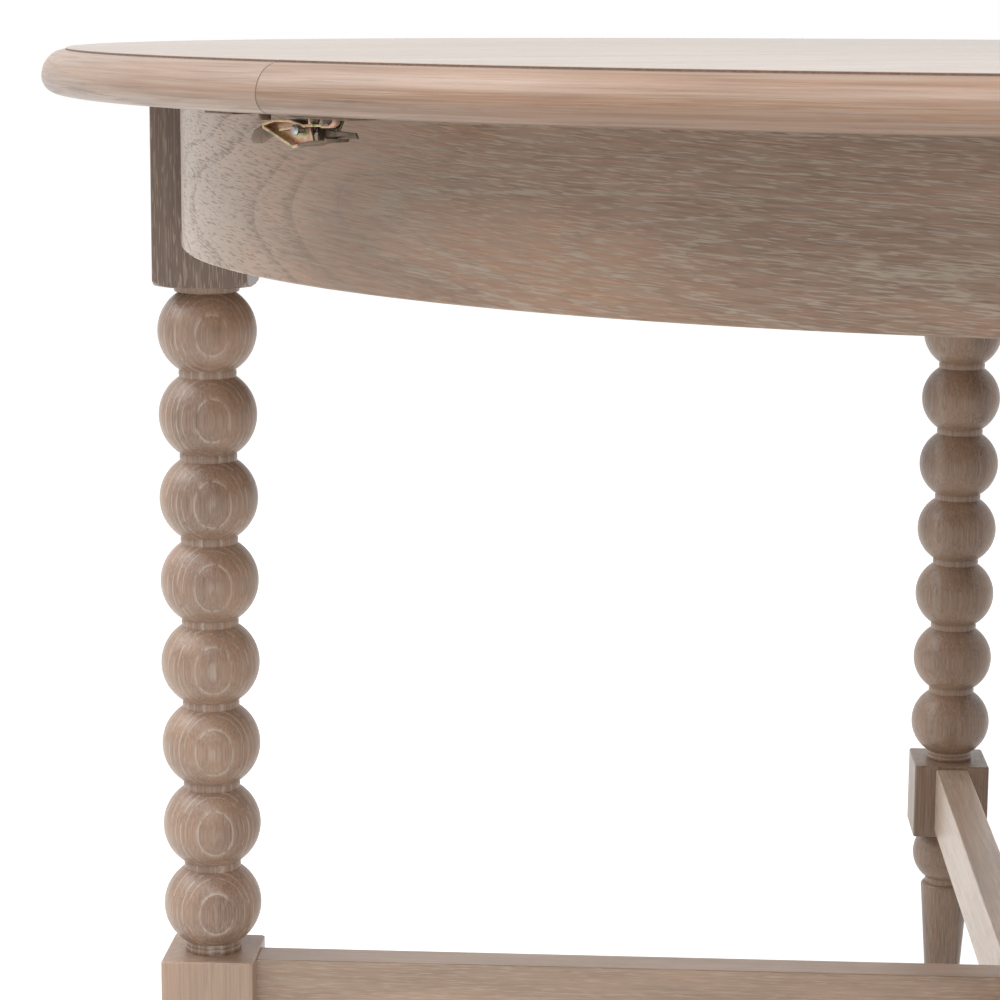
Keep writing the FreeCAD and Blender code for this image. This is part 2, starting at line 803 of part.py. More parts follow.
def outward(half):
    """The flank of the guide rails that the runners of a half lie on: right ones on +Y, left ones on -Y."""
    return half


for side_name, way in SIDES.items():
    guide_rail(f"guide_rail_{side_name}", way)


# The runners under the halves of the top, each with a peg that stops against a cross rail

stop_x = mm.cross_rail_inset + mm.cross_rail_width / 2 + mm.stop_radius + mm.stop_clearance
runner_inner_reach = mm.half_travel + mm.runner_overlap_length


def stop_peg(half, side, clearance=0):
    """A peg that hangs from a runner and meets the inner face of a cross rail when the table is open."""
    y = guide_offset * side + (runner_side + mm.runner_width / 2) * outward(half)
    return rod(mm.stop_radius + clearance, rail_top - mm.stop_bite_depth, runner_bottom + mm.stop_seat_depth,
               -stop_x * half, y)


def runner_screws(half, side, clearance=0):
    """The screws up through one runner into its half of the top."""
    y = guide_offset * side + (runner_side + mm.runner_width / 2) * outward(half)
    tip = under_top + mm.runner_screw_bite_depth
    return [screw(offset * half, y, runner_bottom, tip, clearance)
            for offset in (mm.runner_screw_near_offset, mm.runner_screw_far_offset)]


def runner(node, half, side):
    """A runner along X with a groove for the guide's tongue and a rebate for the rack.

    Past the parting line its top is lowered, so that it clears the other half.
    """
    way = outward(half)
    y = guide_offset * side
    inner = y + runner_side * way
    outer = inner + mm.runner_width * way
    low_y, high_y = (inner, outer) if way > 0 else (outer, inner)
    outer_end, inner_end = mm.runner_outer_reach * half, -runner_inner_reach * half
    low_x, high_x = (outer_end, inner_end) if half < 0 else (inner_end, outer_end)
    bar = block(low_x, high_x, low_y, high_y, runner_bottom, under_top)
    groove_floor = y + (tongue_end + mm.groove_end_gap) * way
    rebate_floor = y + rack_back * way
    tools = [
        block(low_x - mm.overrun, high_x + mm.overrun, *ordered(inner - mm.overrun * way, groove_floor),
              tongue_top - mm.tongue_depth - mm.slide_clearance, tongue_top + mm.slide_clearance),
        block(low_x - mm.overrun, high_x + mm.overrun, *ordered(inner - mm.overrun * way, rebate_floor),
              rack_bottom, rack_bottom + mm.gear_face_width),
    ]
    relief = ordered(-half_gap * half, inner_end - mm.overrun * half)
    tools.append(block(*relief, low_y, high_y, frame_top, under_top + mm.overrun))
    tools.append(stop_peg(half, side, mm.screw_clearance))
    return piece(cut(bar, tools + runner_screws(half, side, mm.screw_clearance)), node)


def ordered(first, second):
    """Two sizes with the lower one first."""
    return (first, second) if first.value < second.value else (second, first)


rack_back = pitch_radius + mm.rack_thickness
for half_name, half_side in HALVES.items():
    for side_name, way in SIDES.items():
        runner(f"runner_{half_name}_{side_name}", half_side, way)
    piece(group([one for way in SIDES.values() for one in runner_screws(half_side, way)]),
          f"runner_screws_{half_name}")
    piece(group([stop_peg(half_side, way) for way in SIDES.values()]), f"stop_pegs_{half_name}")


# The racks, one in each runner, and the pinions between them

PRESSURE_ANGLE = math.radians(20)
DEDENDUM_SHARE = 1.25
FLANK_SHARES = (0.0, 0.25, 0.5, 0.75, 1.0)


def rack(node, half, side):
    """A toothed strip with straight flanks, a space between teeth at X = 0."""
    way = outward(half)
    pitch = math.pi * mm.gear_module.value
    start = mm.rack_end_gap.value - mm.runner_outer_reach.value
    finish = runner_inner_reach.value - mm.rack_end_gap.value
    line = pitch_radius.value
    tip = line - mm.gear_module.value
    foot = line + DEDENDUM_SHARE * mm.gear_module.value
    lean = math.tan(PRESSURE_ANGLE)
    half_tooth = pitch / 4 - mm.gear_backlash_gap.value / 2
    points = [(start, rack_back.value), (start, foot)]
    wide = half_tooth + (foot - line) * lean
    narrow = half_tooth - (line - tip) * lean
    for number in range(math.ceil(start / pitch) + 1, math.ceil(finish / pitch) - 1):
        centre = number * pitch + pitch / 2
        points += [(centre - wide, foot), (centre - narrow, tip)]
        points += [(centre + narrow, tip), (centre + wide, foot)]
    points += [(finish, foot), (finish, rack_back.value)]
    corners = [Vector(-along * half, across * way, 0) for along, across in points]
    return toothed(node, corners, Placement(
        Vector(0, (guide_offset * side).value, rack_bottom.value), Rotation()))


def toothed(node, corners, placement):
    """A flat toothed piece from its outline."""
    face = Part.Face(Part.makePolygon(corners + corners[:1]))
    feature = doc.addObject("Part::Feature", "toothed")
    feature.Shape = face.extrude(Vector(0, 0, mm.gear_face_width.value))
    feature.Placement = placement
    return piece(feature, node)


def pinion(node, side):
    """A pinion with involute flanks and a tooth pointing along Y on both sides."""
    teeth = round(mm.pinion_teeth.value)
    pitch_r = pitch_radius.value
    base_r = pitch_r * math.cos(PRESSURE_ANGLE)
    tip_r = pitch_r + mm.gear_module.value
    foot_r = pitch_r - DEDENDUM_SHARE * mm.gear_module.value
    half_pitch_angle = (math.pi * mm.gear_module.value / 2 - mm.gear_backlash_gap.value) / 2 / pitch_r
    at_pitch = math.tan(PRESSURE_ANGLE) - PRESSURE_ANGLE
    corners = []
    for number in range(teeth):
        middle = math.radians(QUARTER) + FULL_TURN / teeth * math.radians(number)
        flank = []
        for share in FLANK_SHARES:
            radius = base_r + (tip_r - base_r) * share
            roll = math.acos(base_r / radius)
            flank.append((radius, half_pitch_angle + at_pitch - (math.tan(roll) - roll)))
        flank.insert(0, (foot_r, flank[0][1]))
        tooth = [(radius, -angle) for radius, angle in flank]
        tooth += [(radius, angle) for radius, angle in reversed(flank)]
        for radius, angle in tooth:
            corners.append(Vector(radius * math.cos(middle + angle), radius * math.sin(middle + angle), 0))
    face = Part.Face(Part.makePolygon(corners + corners[:1]))
    bore = Part.makeCylinder(mm.axle_radius.value + mm.axle_clearance.value, mm.gear_face_width.value)
    feature = doc.addObject("Part::Feature", "pinion")
    feature.Shape = face.extrude(Vector(0, 0, mm.gear_face_width.value)).cut(bore)
    feature.Placement = Placement(Vector(0, (guide_offset * side).value, rack_bottom.value), Rotation())
    return piece(feature, node)


for side_name, way in SIDES.items():
    for half_name, half_side in HALVES.items():
        rack(f"rack_{half_name}_{side_name}", half_side, way)
    pinion(f"pinion_{side_name}", way)
piece(group([rod(mm.axle_radius, axle_bottom, axle_bottom + mm.axle_length, 0, guide_offset * way)
             for way in SIDES.values()]), "pinion_axles")


# The alignment pins of the left half and their bushes in the right half

pin_height = under_top + mm.top_thickness / 2
PIN_OFFSETS = [offset * way for offset in (mm.pin_inner_offset, mm.pin_outer_offset)
               for way in SIDES.values()]


def alignment_pin(y, clearance=0):
    """A steel pin that stands out of the left parting edge."""
    return long_pin(mm.pin_radius + clearance, -half_gap - mm.pin_seat_depth, mm.pin_reach, y, pin_height)


def bush_space(y, clearance=0):
    """The bored seat of a bush in the right parting edge."""
    return long_pin(mm.bush_radius + clearance, half_gap, half_gap + mm.bush_length, y, pin_height)


piece(group([alignment_pin(y) for y in PIN_OFFSETS]), "alignment_pins")
piece(group([cut(bush_space(y), [alignment_pin(y, mm.pin_clearance)]) for y in PIN_OFFSETS]), "pin_bushes")


# The latches: a base plate with ears on the right half, a rocking lever and a catch on the left

lever_half = mm.lever_width / 2
ear_inner = lever_half + mm.lever_side_gap
plate_bottom = under_top - mm.latch_plate_thickness


def latch_block(side, x0, x1, across0, across1, z0, z1):
    """A box of the latch on one side of the table, its second pair of sizes measured towards the rim."""
    first = (latch_offset + across0) * side
    second = (latch_offset + across1) * side
    return block(x0, x1, *ordered(first, second), z0, z1)


def latch_cross(side, radius, x, across0, across1, z):
    """A cylinder of the latch along Y."""
    first = (latch_offset + across0) * side
    second = (latch_offset + across1) * side
    low, high = ordered(first, second)
    return cross_pin(radius, x, low, high, z)


def folded_strip(side, thickness, across0, across1, corners):
    """A strip of sheet folded through (x, drop) corners, with a round at each."""
    solids = []
    low, high = ordered((latch_offset + across0) * side, (latch_offset + across1) * side)
    width = (high - low).value
    along_y = Vector(0, 1, 0)
    points = [Vector(sized(x).value, low.value, (under_top - drop).value) for x, drop in corners]
    for point in points:
        solids.append(Part.makeCylinder(thickness.value / 2, width, point, along_y))
    for start, end in zip(points, points[1:]):
        offset = (end - start).cross(along_y).normalize() * (thickness.value / 2)
        ring = [start + offset, end + offset, end - offset, start - offset]
        solids.append(Part.Face(Part.makePolygon(ring + ring[:1])).extrude(along_y * width))
    feature = doc.addObject("Part::Feature", "folded_strip")
    feature.Shape = solids[0].fuse(solids[1:]).removeSplitter()
    return feature


def plate_screws(side, clearance=0):
    """The screws of a latch base."""
    return [screw(x, (latch_offset + mm.plate_screw_side_offset * way) * side, plate_bottom,
                  plate_bottom + mm.plate_screw_length, clearance)
            for x in (mm.plate_screw_near_offset, mm.plate_screw_far_offset) for way in SIDES.values()]


def catch_screws(side, clearance=0):
    """The screws of a latch catch."""
    head = under_top - mm.catch_plate_thickness
    return [screw(-mm.catch_screw_offset, (latch_offset + mm.plate_screw_side_offset * way) * side,
                  head, head + mm.plate_screw_length, clearance) for way in SIDES.values()]


def latch_pivot(side, clearance=0):
    """The pin through both ears, with a riveted head at each end."""
    reach = ear_inner + mm.latch_plate_thickness
    height = under_top - mm.pivot_drop
    shapes = [latch_cross(side, mm.latch_pin_radius + clearance, mm.pivot_offset, -reach, reach, height)]
    if not clearance:
        for way in SIDES.values():
            ends = ordered(reach * way, (reach + mm.latch_pin_head_height) * way)
            shapes.append(latch_cross(side, mm.latch_pin_head_radius, mm.pivot_offset, *ends, height))
    return fuse(shapes)


def latch_base(node, side):
    """A plate under the right half with an ear folded down on each side."""
    half_width = mm.latch_plate_width / 2
    shapes = [latch_block(side, mm.latch_plate_near_offset, mm.latch_plate_far_offset,
                          -half_width, half_width, plate_bottom, under_top)]
    for way in SIDES.values():
        near, far = ordered(ear_inner * way, (ear_inner + mm.latch_plate_thickness) * way)
        shapes.append(latch_block(side, mm.ear_near_offset, mm.ear_far_offset, near, far,
                                  under_top - mm.ear_drop, under_top))
    hole = latch_cross(side, mm.latch_pin_radius + mm.latch_pin_clearance, mm.pivot_offset,
                       -half_width - mm.overrun, half_width + mm.overrun, under_top - mm.pivot_drop)
    return piece(cut(fuse(shapes), [hole] + plate_screws(side, mm.screw_clearance)), node)


def latch_lever(node, side):
    """A folded lever: a strip across the pivot and a loop of sheet on the rim side."""
    height = under_top - mm.pivot_drop
    eye = latch_cross(side, mm.eye_radius, mm.pivot_offset, -lever_half, lever_half, height)
    strip = folded_strip(side, mm.latch_plate_thickness, -lever_half, lever_half,
                         [(mm.tail_reach, mm.pivot_drop), (-mm.strip_reach, mm.pivot_drop)])
    loop = folded_strip(side, mm.latch_plate_thickness, sized(0), lever_half, [
        (mm.pivot_offset, mm.pivot_drop),
        (mm.heel_offset, mm.heel_drop),
        (-mm.belly_offset, mm.belly_drop),
        (-mm.nose_offset, mm.nose_drop),
        (-mm.return_offset, mm.return_drop),
    ])
    hole = latch_cross(side, mm.latch_pin_radius + mm.latch_pin_clearance, mm.pivot_offset,
                       -lever_half - mm.overrun, lever_half + mm.overrun, height)
    return piece(cut(fuse([eye, strip, loop]), [hole, tongue_rivet(side, mm.latch_pin_clearance)]), node)


def latch_tongue(node, side):
    """The tongue riveted under the lever's strip, with a lip that takes the catch."""
    level = mm.pivot_drop + (mm.latch_plate_thickness + mm.latch_tongue_thickness) / 2
    tongue = folded_strip(side, mm.latch_tongue_thickness, -lever_half, -mm.latch_tongue_gap, [
        (-mm.latch_tongue_near_offset, level),
        (-mm.latch_tongue_bend_offset, level),
        (-mm.latch_tongue_reach, mm.latch_tongue_drop),
        (-mm.latch_tongue_reach, mm.latch_tongue_drop - mm.latch_tongue_lip_height),
    ])
    return piece(cut(tongue, [tongue_rivet(side, mm.latch_pin_clearance)]), node)


def tongue_rivet(side, clearance=0):
    """The rivet through the lever's strip and the tongue."""
    y = (latch_offset - lever_half / 2) * side
    top = under_top - mm.pivot_drop + mm.latch_plate_thickness / 2
    bottom = top - mm.latch_plate_thickness - mm.latch_tongue_thickness
    shapes = [rod(mm.rivet_radius + clearance, bottom - mm.rivet_head_height, top + mm.rivet_head_height / 2,
                  -mm.rivet_offset, y)]
    if not clearance:
        shapes.append(rod(mm.rivet_head_radius, bottom - mm.rivet_head_height, bottom, -mm.rivet_offset, y))
        shapes.append(rod(mm.rivet_head_radius, top, top + mm.rivet_head_height / 2, -mm.rivet_offset, y))
    return fuse(shapes)


def latch_catch(node, side):
    """A plate under the left half with a lip folded down at its near end."""
    half_width = mm.latch_plate_width / 2
    half_lip = mm.catch_lip_width / 2
    plate = latch_block(side, -mm.catch_far_offset, -mm.catch_near_offset, -half_width, half_width,
                        under_top - mm.catch_plate_thickness, under_top)
    lip = latch_block(side, -mm.catch_near_offset - mm.catch_plate_thickness, -mm.catch_near_offset,
                      -half_lip, half_lip, under_top - mm.catch_lip_drop, under_top)
    return piece(cut(fuse([plate, lip]), catch_screws(side, mm.screw_clearance)), node)


for side_name, way in SIDES.items():
    latch_base(f"latch_base_{side_name}", way)
    latch_lever(f"latch_lever_{side_name}", way)
    latch_tongue(f"latch_tongue_{side_name}", way)
    piece(tongue_rivet(way), f"latch_rivet_{side_name}")
    latch_catch(f"latch_catch_{side_name}", way)
piece(group([latch_pivot(way) for way in SIDES.values()]), "latch_pivots")
piece(group([one for way in SIDES.values() for one in plate_screws(way)]), "latch_base_screws")
piece(group([one for way in SIDES.values() for one in catch_screws(way)]), "latch_catch_screws")


# The two halves of the top

def edge_profile(inner, rim, low, upwards=1):
    """The moulded rim from its lower corner to its upper one: a round under, a fuller round over, a quirk."""
    under = mm.rim_under_reach
    over = mm.rim_over_reach
    girth = mm.top_thickness - mm.girth_drop
    quirk = mm.top_thickness - mm.quirk_depth
    return [
        (inner, low),
        (rim - under, low),
        (rim, low + girth * upwards, arc_radius(under, girth), upwards),
        (rim - over, low + quirk * upwards, arc_radius(over, quirk - girth), upwards),
        (rim - over, low + mm.top_thickness * upwards),
        (inner, low + mm.top_thickness * upwards),
    ]


def top_half(node, half, tools):
    """Half of the round top with its moulded rim."""
    body = doc.addObject("PartDesign::Body", f"{node}_blank")
    revolve(body, outline(body, "XZ_Plane", edge_profile(0, mm.top_radius, under_top)), HALF_TURN)
    turned(body, -QUARTER * half)
    body.setExpression("Placement.Base.x", (half_gap * half).text)
    return piece(cut(body, tools), node)


left_tools = [alignment_pin(y, mm.screw_clearance) for y in PIN_OFFSETS]
right_tools = [bush_space(y, mm.screw_clearance) for y in PIN_OFFSETS]
for way in SIDES.values():
    left_tools += runner_screws(HALVES["left"], way, mm.screw_clearance)
    left_tools += catch_screws(way, mm.screw_clearance)
    right_tools += runner_screws(HALVES["right"], way, mm.screw_clearance)
    right_tools += plate_screws(way, mm.screw_clearance)
top_half("top_half_left", HALVES["left"], left_tools)
top_half("top_half_right", HALVES["right"], right_tools)


# The extension leaf, folded underside to underside on the cross rails

KNUCKLES = 3


def leaf_panel(node, underside, upwards):
    """A panel of the leaf with its moulded end at the front."""
    body = doc.addObject("PartDesign::Body", node)
    profile = []
    for across, up, *arc in edge_profile(-leaf_half_length, leaf_half_length, underside, upwards):
        profile.append((-across, up, arc[0], -arc[1]) if arc else (-across, up))
    pad(body, outline(body, "YZ_Plane", profile), leaf_half_width * 2)
    return piece(body, node)


lower_underside = rail_top + mm.top_thickness
hinge_barrel_stand = mm.hinge_barrel_radius + mm.hinge_barrel_gap
leaf_panel("leaf_panel_lower", lower_underside, -1)
leaf_panel("leaf_panel_upper", lower_underside + fold_gap, 1)


def hinge_leaf(x, level, upwards):
    """One plate of a hinge, with its own knuckles round the pin."""
    axis_y = leaf_half_length + hinge_barrel_stand
    axis_z = lower_underside + fold_gap / 2
    half_length = mm.hinge_plate_length / 2
    thick = mm.hinge_plate_thickness * upwards
    plate = block(x - half_length, x + half_length, leaf_half_length - mm.hinge_plate_width, axis_y,
                  *ordered(level, level + thick))
    knuckle_half = half_length / KNUCKLES
    if upwards > 0:
        spans = [(x - half_length, x - knuckle_half), (x + knuckle_half, x + half_length)]
        away = [(x - knuckle_half, x + knuckle_half)]
    else:
        spans = [(x - knuckle_half, x + knuckle_half)]
        away = [(x - half_length - mm.overrun, x - knuckle_half),
                (x + knuckle_half, x + half_length + mm.overrun)]
    barrels = [long_pin(mm.hinge_barrel_radius, low, high, axis_y, axis_z) for low, high in spans]
    bore = long_pin(mm.hinge_pin_radius + mm.hinge_clearance / 2, x - half_length - mm.overrun,
                    x + half_length + mm.overrun, axis_y, axis_z)
    clear = mm.hinge_clearance
    rooms = [block(low - clear, high + clear, axis_y - mm.hinge_barrel_radius - clear,
                   axis_y + mm.hinge_barrel_radius + clear, axis_z - mm.hinge_barrel_radius - clear,
                   axis_z + mm.hinge_barrel_radius + clear) for low, high in away]
    return cut(fuse([plate] + barrels), rooms + [bore])


leaf_hinges = []
for way in HALVES.values():
    hinge_x = mm.hinge_offset * way
    leaf_hinges.append(hinge_leaf(hinge_x, lower_underside, 1))
    leaf_hinges.append(hinge_leaf(hinge_x, lower_underside + fold_gap, -1))
    leaf_hinges.append(long_pin(mm.hinge_pin_radius, hinge_x - mm.hinge_plate_length / 2,
                                hinge_x + mm.hinge_plate_length / 2, leaf_half_length + hinge_barrel_stand,
                                lower_underside + fold_gap / 2))
piece(group(leaf_hinges), "leaf_hinges")


# The cleats on the cross rails that keep the leaf in its well

def cleat(half, side):
    """A small block just outside the leaf."""
    inner = leaf_half_width + mm.cleat_gap
    y = mm.cleat_offset * side
    return block(*ordered(inner * half, (inner + mm.cleat_width) * half),
                 y - mm.cleat_length / 2, y + mm.cleat_length / 2, rail_top, rail_top + mm.cleat_height)


piece(group([cleat(half, way) for half in HALVES.values() for way in SIDES.values()]), "leaf_cleats")


# Check the whole model, then write each sub-part

doc.recompute()
failed = [thing.Name for thing in doc.Objects if "Invalid" in thing.State or "Error" in thing.State]
broken = [one.Label for one in pieces
          if one.Shape.isNull() or not one.Shape.isValid() or not one.Shape.Solids]
if failed or broken:
    raise RuntimeError(f"failed objects {failed}, broken shapes {broken}")
if len({one.Label for one in pieces}) != len(pieces):
    raise RuntimeError("two sub-parts share a name")
os.makedirs("parts", exist_ok=True)
for one in pieces:
    one.Shape.exportStep(f"parts/{one.Label}.step")
print(f"{len(pieces)} sub-parts")
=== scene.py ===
import math

import bmesh
import bpy
from mathutils import Matrix, Vector


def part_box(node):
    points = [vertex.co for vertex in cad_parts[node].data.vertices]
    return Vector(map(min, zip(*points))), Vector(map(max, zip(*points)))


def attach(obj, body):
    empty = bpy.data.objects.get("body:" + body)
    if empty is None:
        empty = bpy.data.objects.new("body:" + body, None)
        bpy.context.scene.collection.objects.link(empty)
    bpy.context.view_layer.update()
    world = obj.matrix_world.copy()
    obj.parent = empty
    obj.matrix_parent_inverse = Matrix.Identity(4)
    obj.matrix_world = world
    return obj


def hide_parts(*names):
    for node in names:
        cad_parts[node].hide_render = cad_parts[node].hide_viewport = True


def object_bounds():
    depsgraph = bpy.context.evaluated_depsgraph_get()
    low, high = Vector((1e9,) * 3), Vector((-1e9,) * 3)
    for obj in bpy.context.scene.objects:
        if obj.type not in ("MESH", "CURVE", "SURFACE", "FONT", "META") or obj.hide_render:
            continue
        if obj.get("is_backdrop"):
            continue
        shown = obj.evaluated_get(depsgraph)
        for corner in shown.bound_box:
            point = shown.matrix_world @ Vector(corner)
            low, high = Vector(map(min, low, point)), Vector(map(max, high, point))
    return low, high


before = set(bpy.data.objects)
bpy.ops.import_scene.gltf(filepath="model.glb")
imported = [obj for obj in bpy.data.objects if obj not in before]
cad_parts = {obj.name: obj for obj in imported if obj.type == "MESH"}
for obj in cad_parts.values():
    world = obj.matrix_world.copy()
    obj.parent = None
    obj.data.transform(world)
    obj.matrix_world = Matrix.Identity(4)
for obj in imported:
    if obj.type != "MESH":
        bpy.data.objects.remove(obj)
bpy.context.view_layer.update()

# The four legs
# Each is turned from one squared length of oak: a foot, a bun, a block that the stretchers enter,
# eight bobbins with thin collars between them, and a square top block whose corners the lathe
# has rounded off underneath. The finish is a limed oak, brown with white in the pores.

MM = 0.001
# For each leg, the pith's heading and reach from the middle, how strongly the ring lines show, how much
# paler the foot and its block are, a painted light, or darker below nothing, a painted shade, and the light
# and dark brown. The back left leg's browns are darker, a painted shade, for it stands in the table's shadow.
LEGS = {"front_left": (-32, 62, 0.75, 0.3, "#B9977E", "#775D4F"),
        "front_right": (150, 80, 0.4, 0.15, "#B69882", "#7C6356"),
        "back_right": (205, 70, 0.4, 0.15, "#B99B85", "#7E6558"),
        "back_left": (39, 74, 0.25, -0.1, "#AA8A72", "#5C473B")}
LEG_AROUND = 96
SIDES_OF_BLOCK = 4
ARRIS_STEPS = 2
BLOCK_WIDTH = 58.0
BLOCK_ARRIS = 1.6
BLOCK_CHAMFER = 0.8
STRETCHER_BLOCK_TOP = 192.8
STRETCHER_BLOCK_DEPTH = 57.8
BUN_LENGTH = 40.0
BUN_RADIUS = 26.2
BUN_STEPS = 24
ANKLE_LENGTH = 4.5
ANKLE_RADIUS = 16.0
FOOT_TOP_RADIUS = 19.0
FOOT_BASE_RADIUS = 13.0
FOOT_STEPS = 12
FOOT_SHOULDER_STEPS = 6
LOWER_NECK_LENGTH = 4.8
LOWER_NECK_SWELL = 0.9
LOWER_NECK_STEPS = 6
NECK_LENGTH = 2.2
NECK_RING_RADIUS = 20.0
NECK_EASE = 0.5
BLOCK_BELOW_APRON = 30.7
SHOULDER_RADIUS = 31.0
SHOULDER_ROUND = 12.0
SHOULDER_STEPS = 16
BEAD_COUNT = 8
BEAD_RADIUS = 30.4
BEAD_VARIATION = 0.25
COLLAR_RADIUS = 17.5
COLLAR_LENGTH = 4.5
COLLAR_SWELL = 0.35
COLLAR_ROWS = 2
CREASE = math.radians(35)
# Each noise in the oak: its size across and along the grain in millimetres, its detail and its roughness
OAK_NOISE = {"drift": (90, 420, 1.0, 0.5), "fibre": (1.3, 70, 3.0, 0.65), "cloud": (38, 190, 2.0, 0.5),
             "streak": (2.2, 130, 2.0, 0.6), "break": (3.5, 14, 1.0, 0.5)}
DARK_PORE_NOISE = (0.8, 16, 1.0, 0.5)
TOP_BLOCK_PORE_NOISE = (0.9, 13, 1.0, 0.5)
# Each band of a noise: what the early wood adds to it, where it starts and ends, and its full strength
OAK_BAND = {"fibre": (0, 0.30, 0.70, 0.45), "cloud": (0, 0.32, 0.68, 0.55), "break": (0, 0.32, 0.52, 1.0)}
DARK_PORE_BAND = (0.10, 0.56, 0.66, 1.0)
TOP_BLOCK_PORE_BAND = (0, 0.56, 0.66, 1.0)
DARK_PORE = "#7B6B5D"
# Painted sheen: a paler wood towards the end of the apron where the pores turn dark
PAINTED_SHEEN_OAK = "#D3BBA4"
# Painted shade: a leg's top block is darker where the table top shades it
PAINTED_SHADE_OAK = "#54443A"
PAINTED_SHADE_SHARE = 0.72
SHADED_TOP_LIME = 0.42
# Painted light and painted shade: a paler or a darker brown for a leg's foot and its block
LIT_FOOT = "#D6BBA3"
SHADED_FOOT = "#3E3028"
EARLY_WOOD_SHARE = 0.36
EARLY_WOOD_TONE = -0.22
YEAR_EDGE_SHARE = 0.10
UNEVEN_YEARS = 2.6
BLOCK_TONE = -0.3
BOARD_TONE = 0.25
LINES_UNDER_BEADS = 0.3
LINES_LOST_TO_SHADE = -0.9
PALER_FROM = 200
PALER_UNTIL = 60
LACQUER = 0.4
LACQUER_ROUGHNESS = 0.3
PORE_ROUGHNESS = 0.78
PORE_DEPTH = 0.12


def linear(text):
    """An sRGB hex colour as linear RGBA."""
    shares = [int(text[i:i + 2], 16) / 255 for i in (1, 3, 5)]
    return (*[s / 12.92 if s <= 0.04045 else ((s + 0.055) / 1.055) ** 2.4 for s in shares], 1.0)


def feed(tree, node, inputs):
    """Set a node's inputs, or link them to a socket or to the output that another node has in use."""
    for key, value in inputs.items():
        if isinstance(value, bpy.types.Node):
            value = next(output for output in value.outputs if output.enabled)
        if isinstance(value, bpy.types.NodeSocket):
            tree.links.new(value, node.inputs[key])
        else:
            node.inputs[key].default_value = value


def add(tree, kind, inputs=None, **settings):
    """Add a node with its settings and its inputs."""
    node = tree.nodes.new(kind)
    for name, value in settings.items():
        setattr(node, name, value)
    feed(tree, node, inputs or {})
    return node


def new_finish(name):
    """A new material, its tree and shader, and the place on the piece."""
    material = bpy.data.materials.new(name)
    material.use_nodes = True
    tree = material.node_tree
    place = add(tree, "ShaderNodeTexCoord").outputs["Object"]
    return material, tree, tree.nodes["Principled BSDF"], place


def along_floor(degrees):
    """The turn that brings a level grain at this heading upright."""
    return (math.radians(90), math.radians(degrees - 90), 0.0)


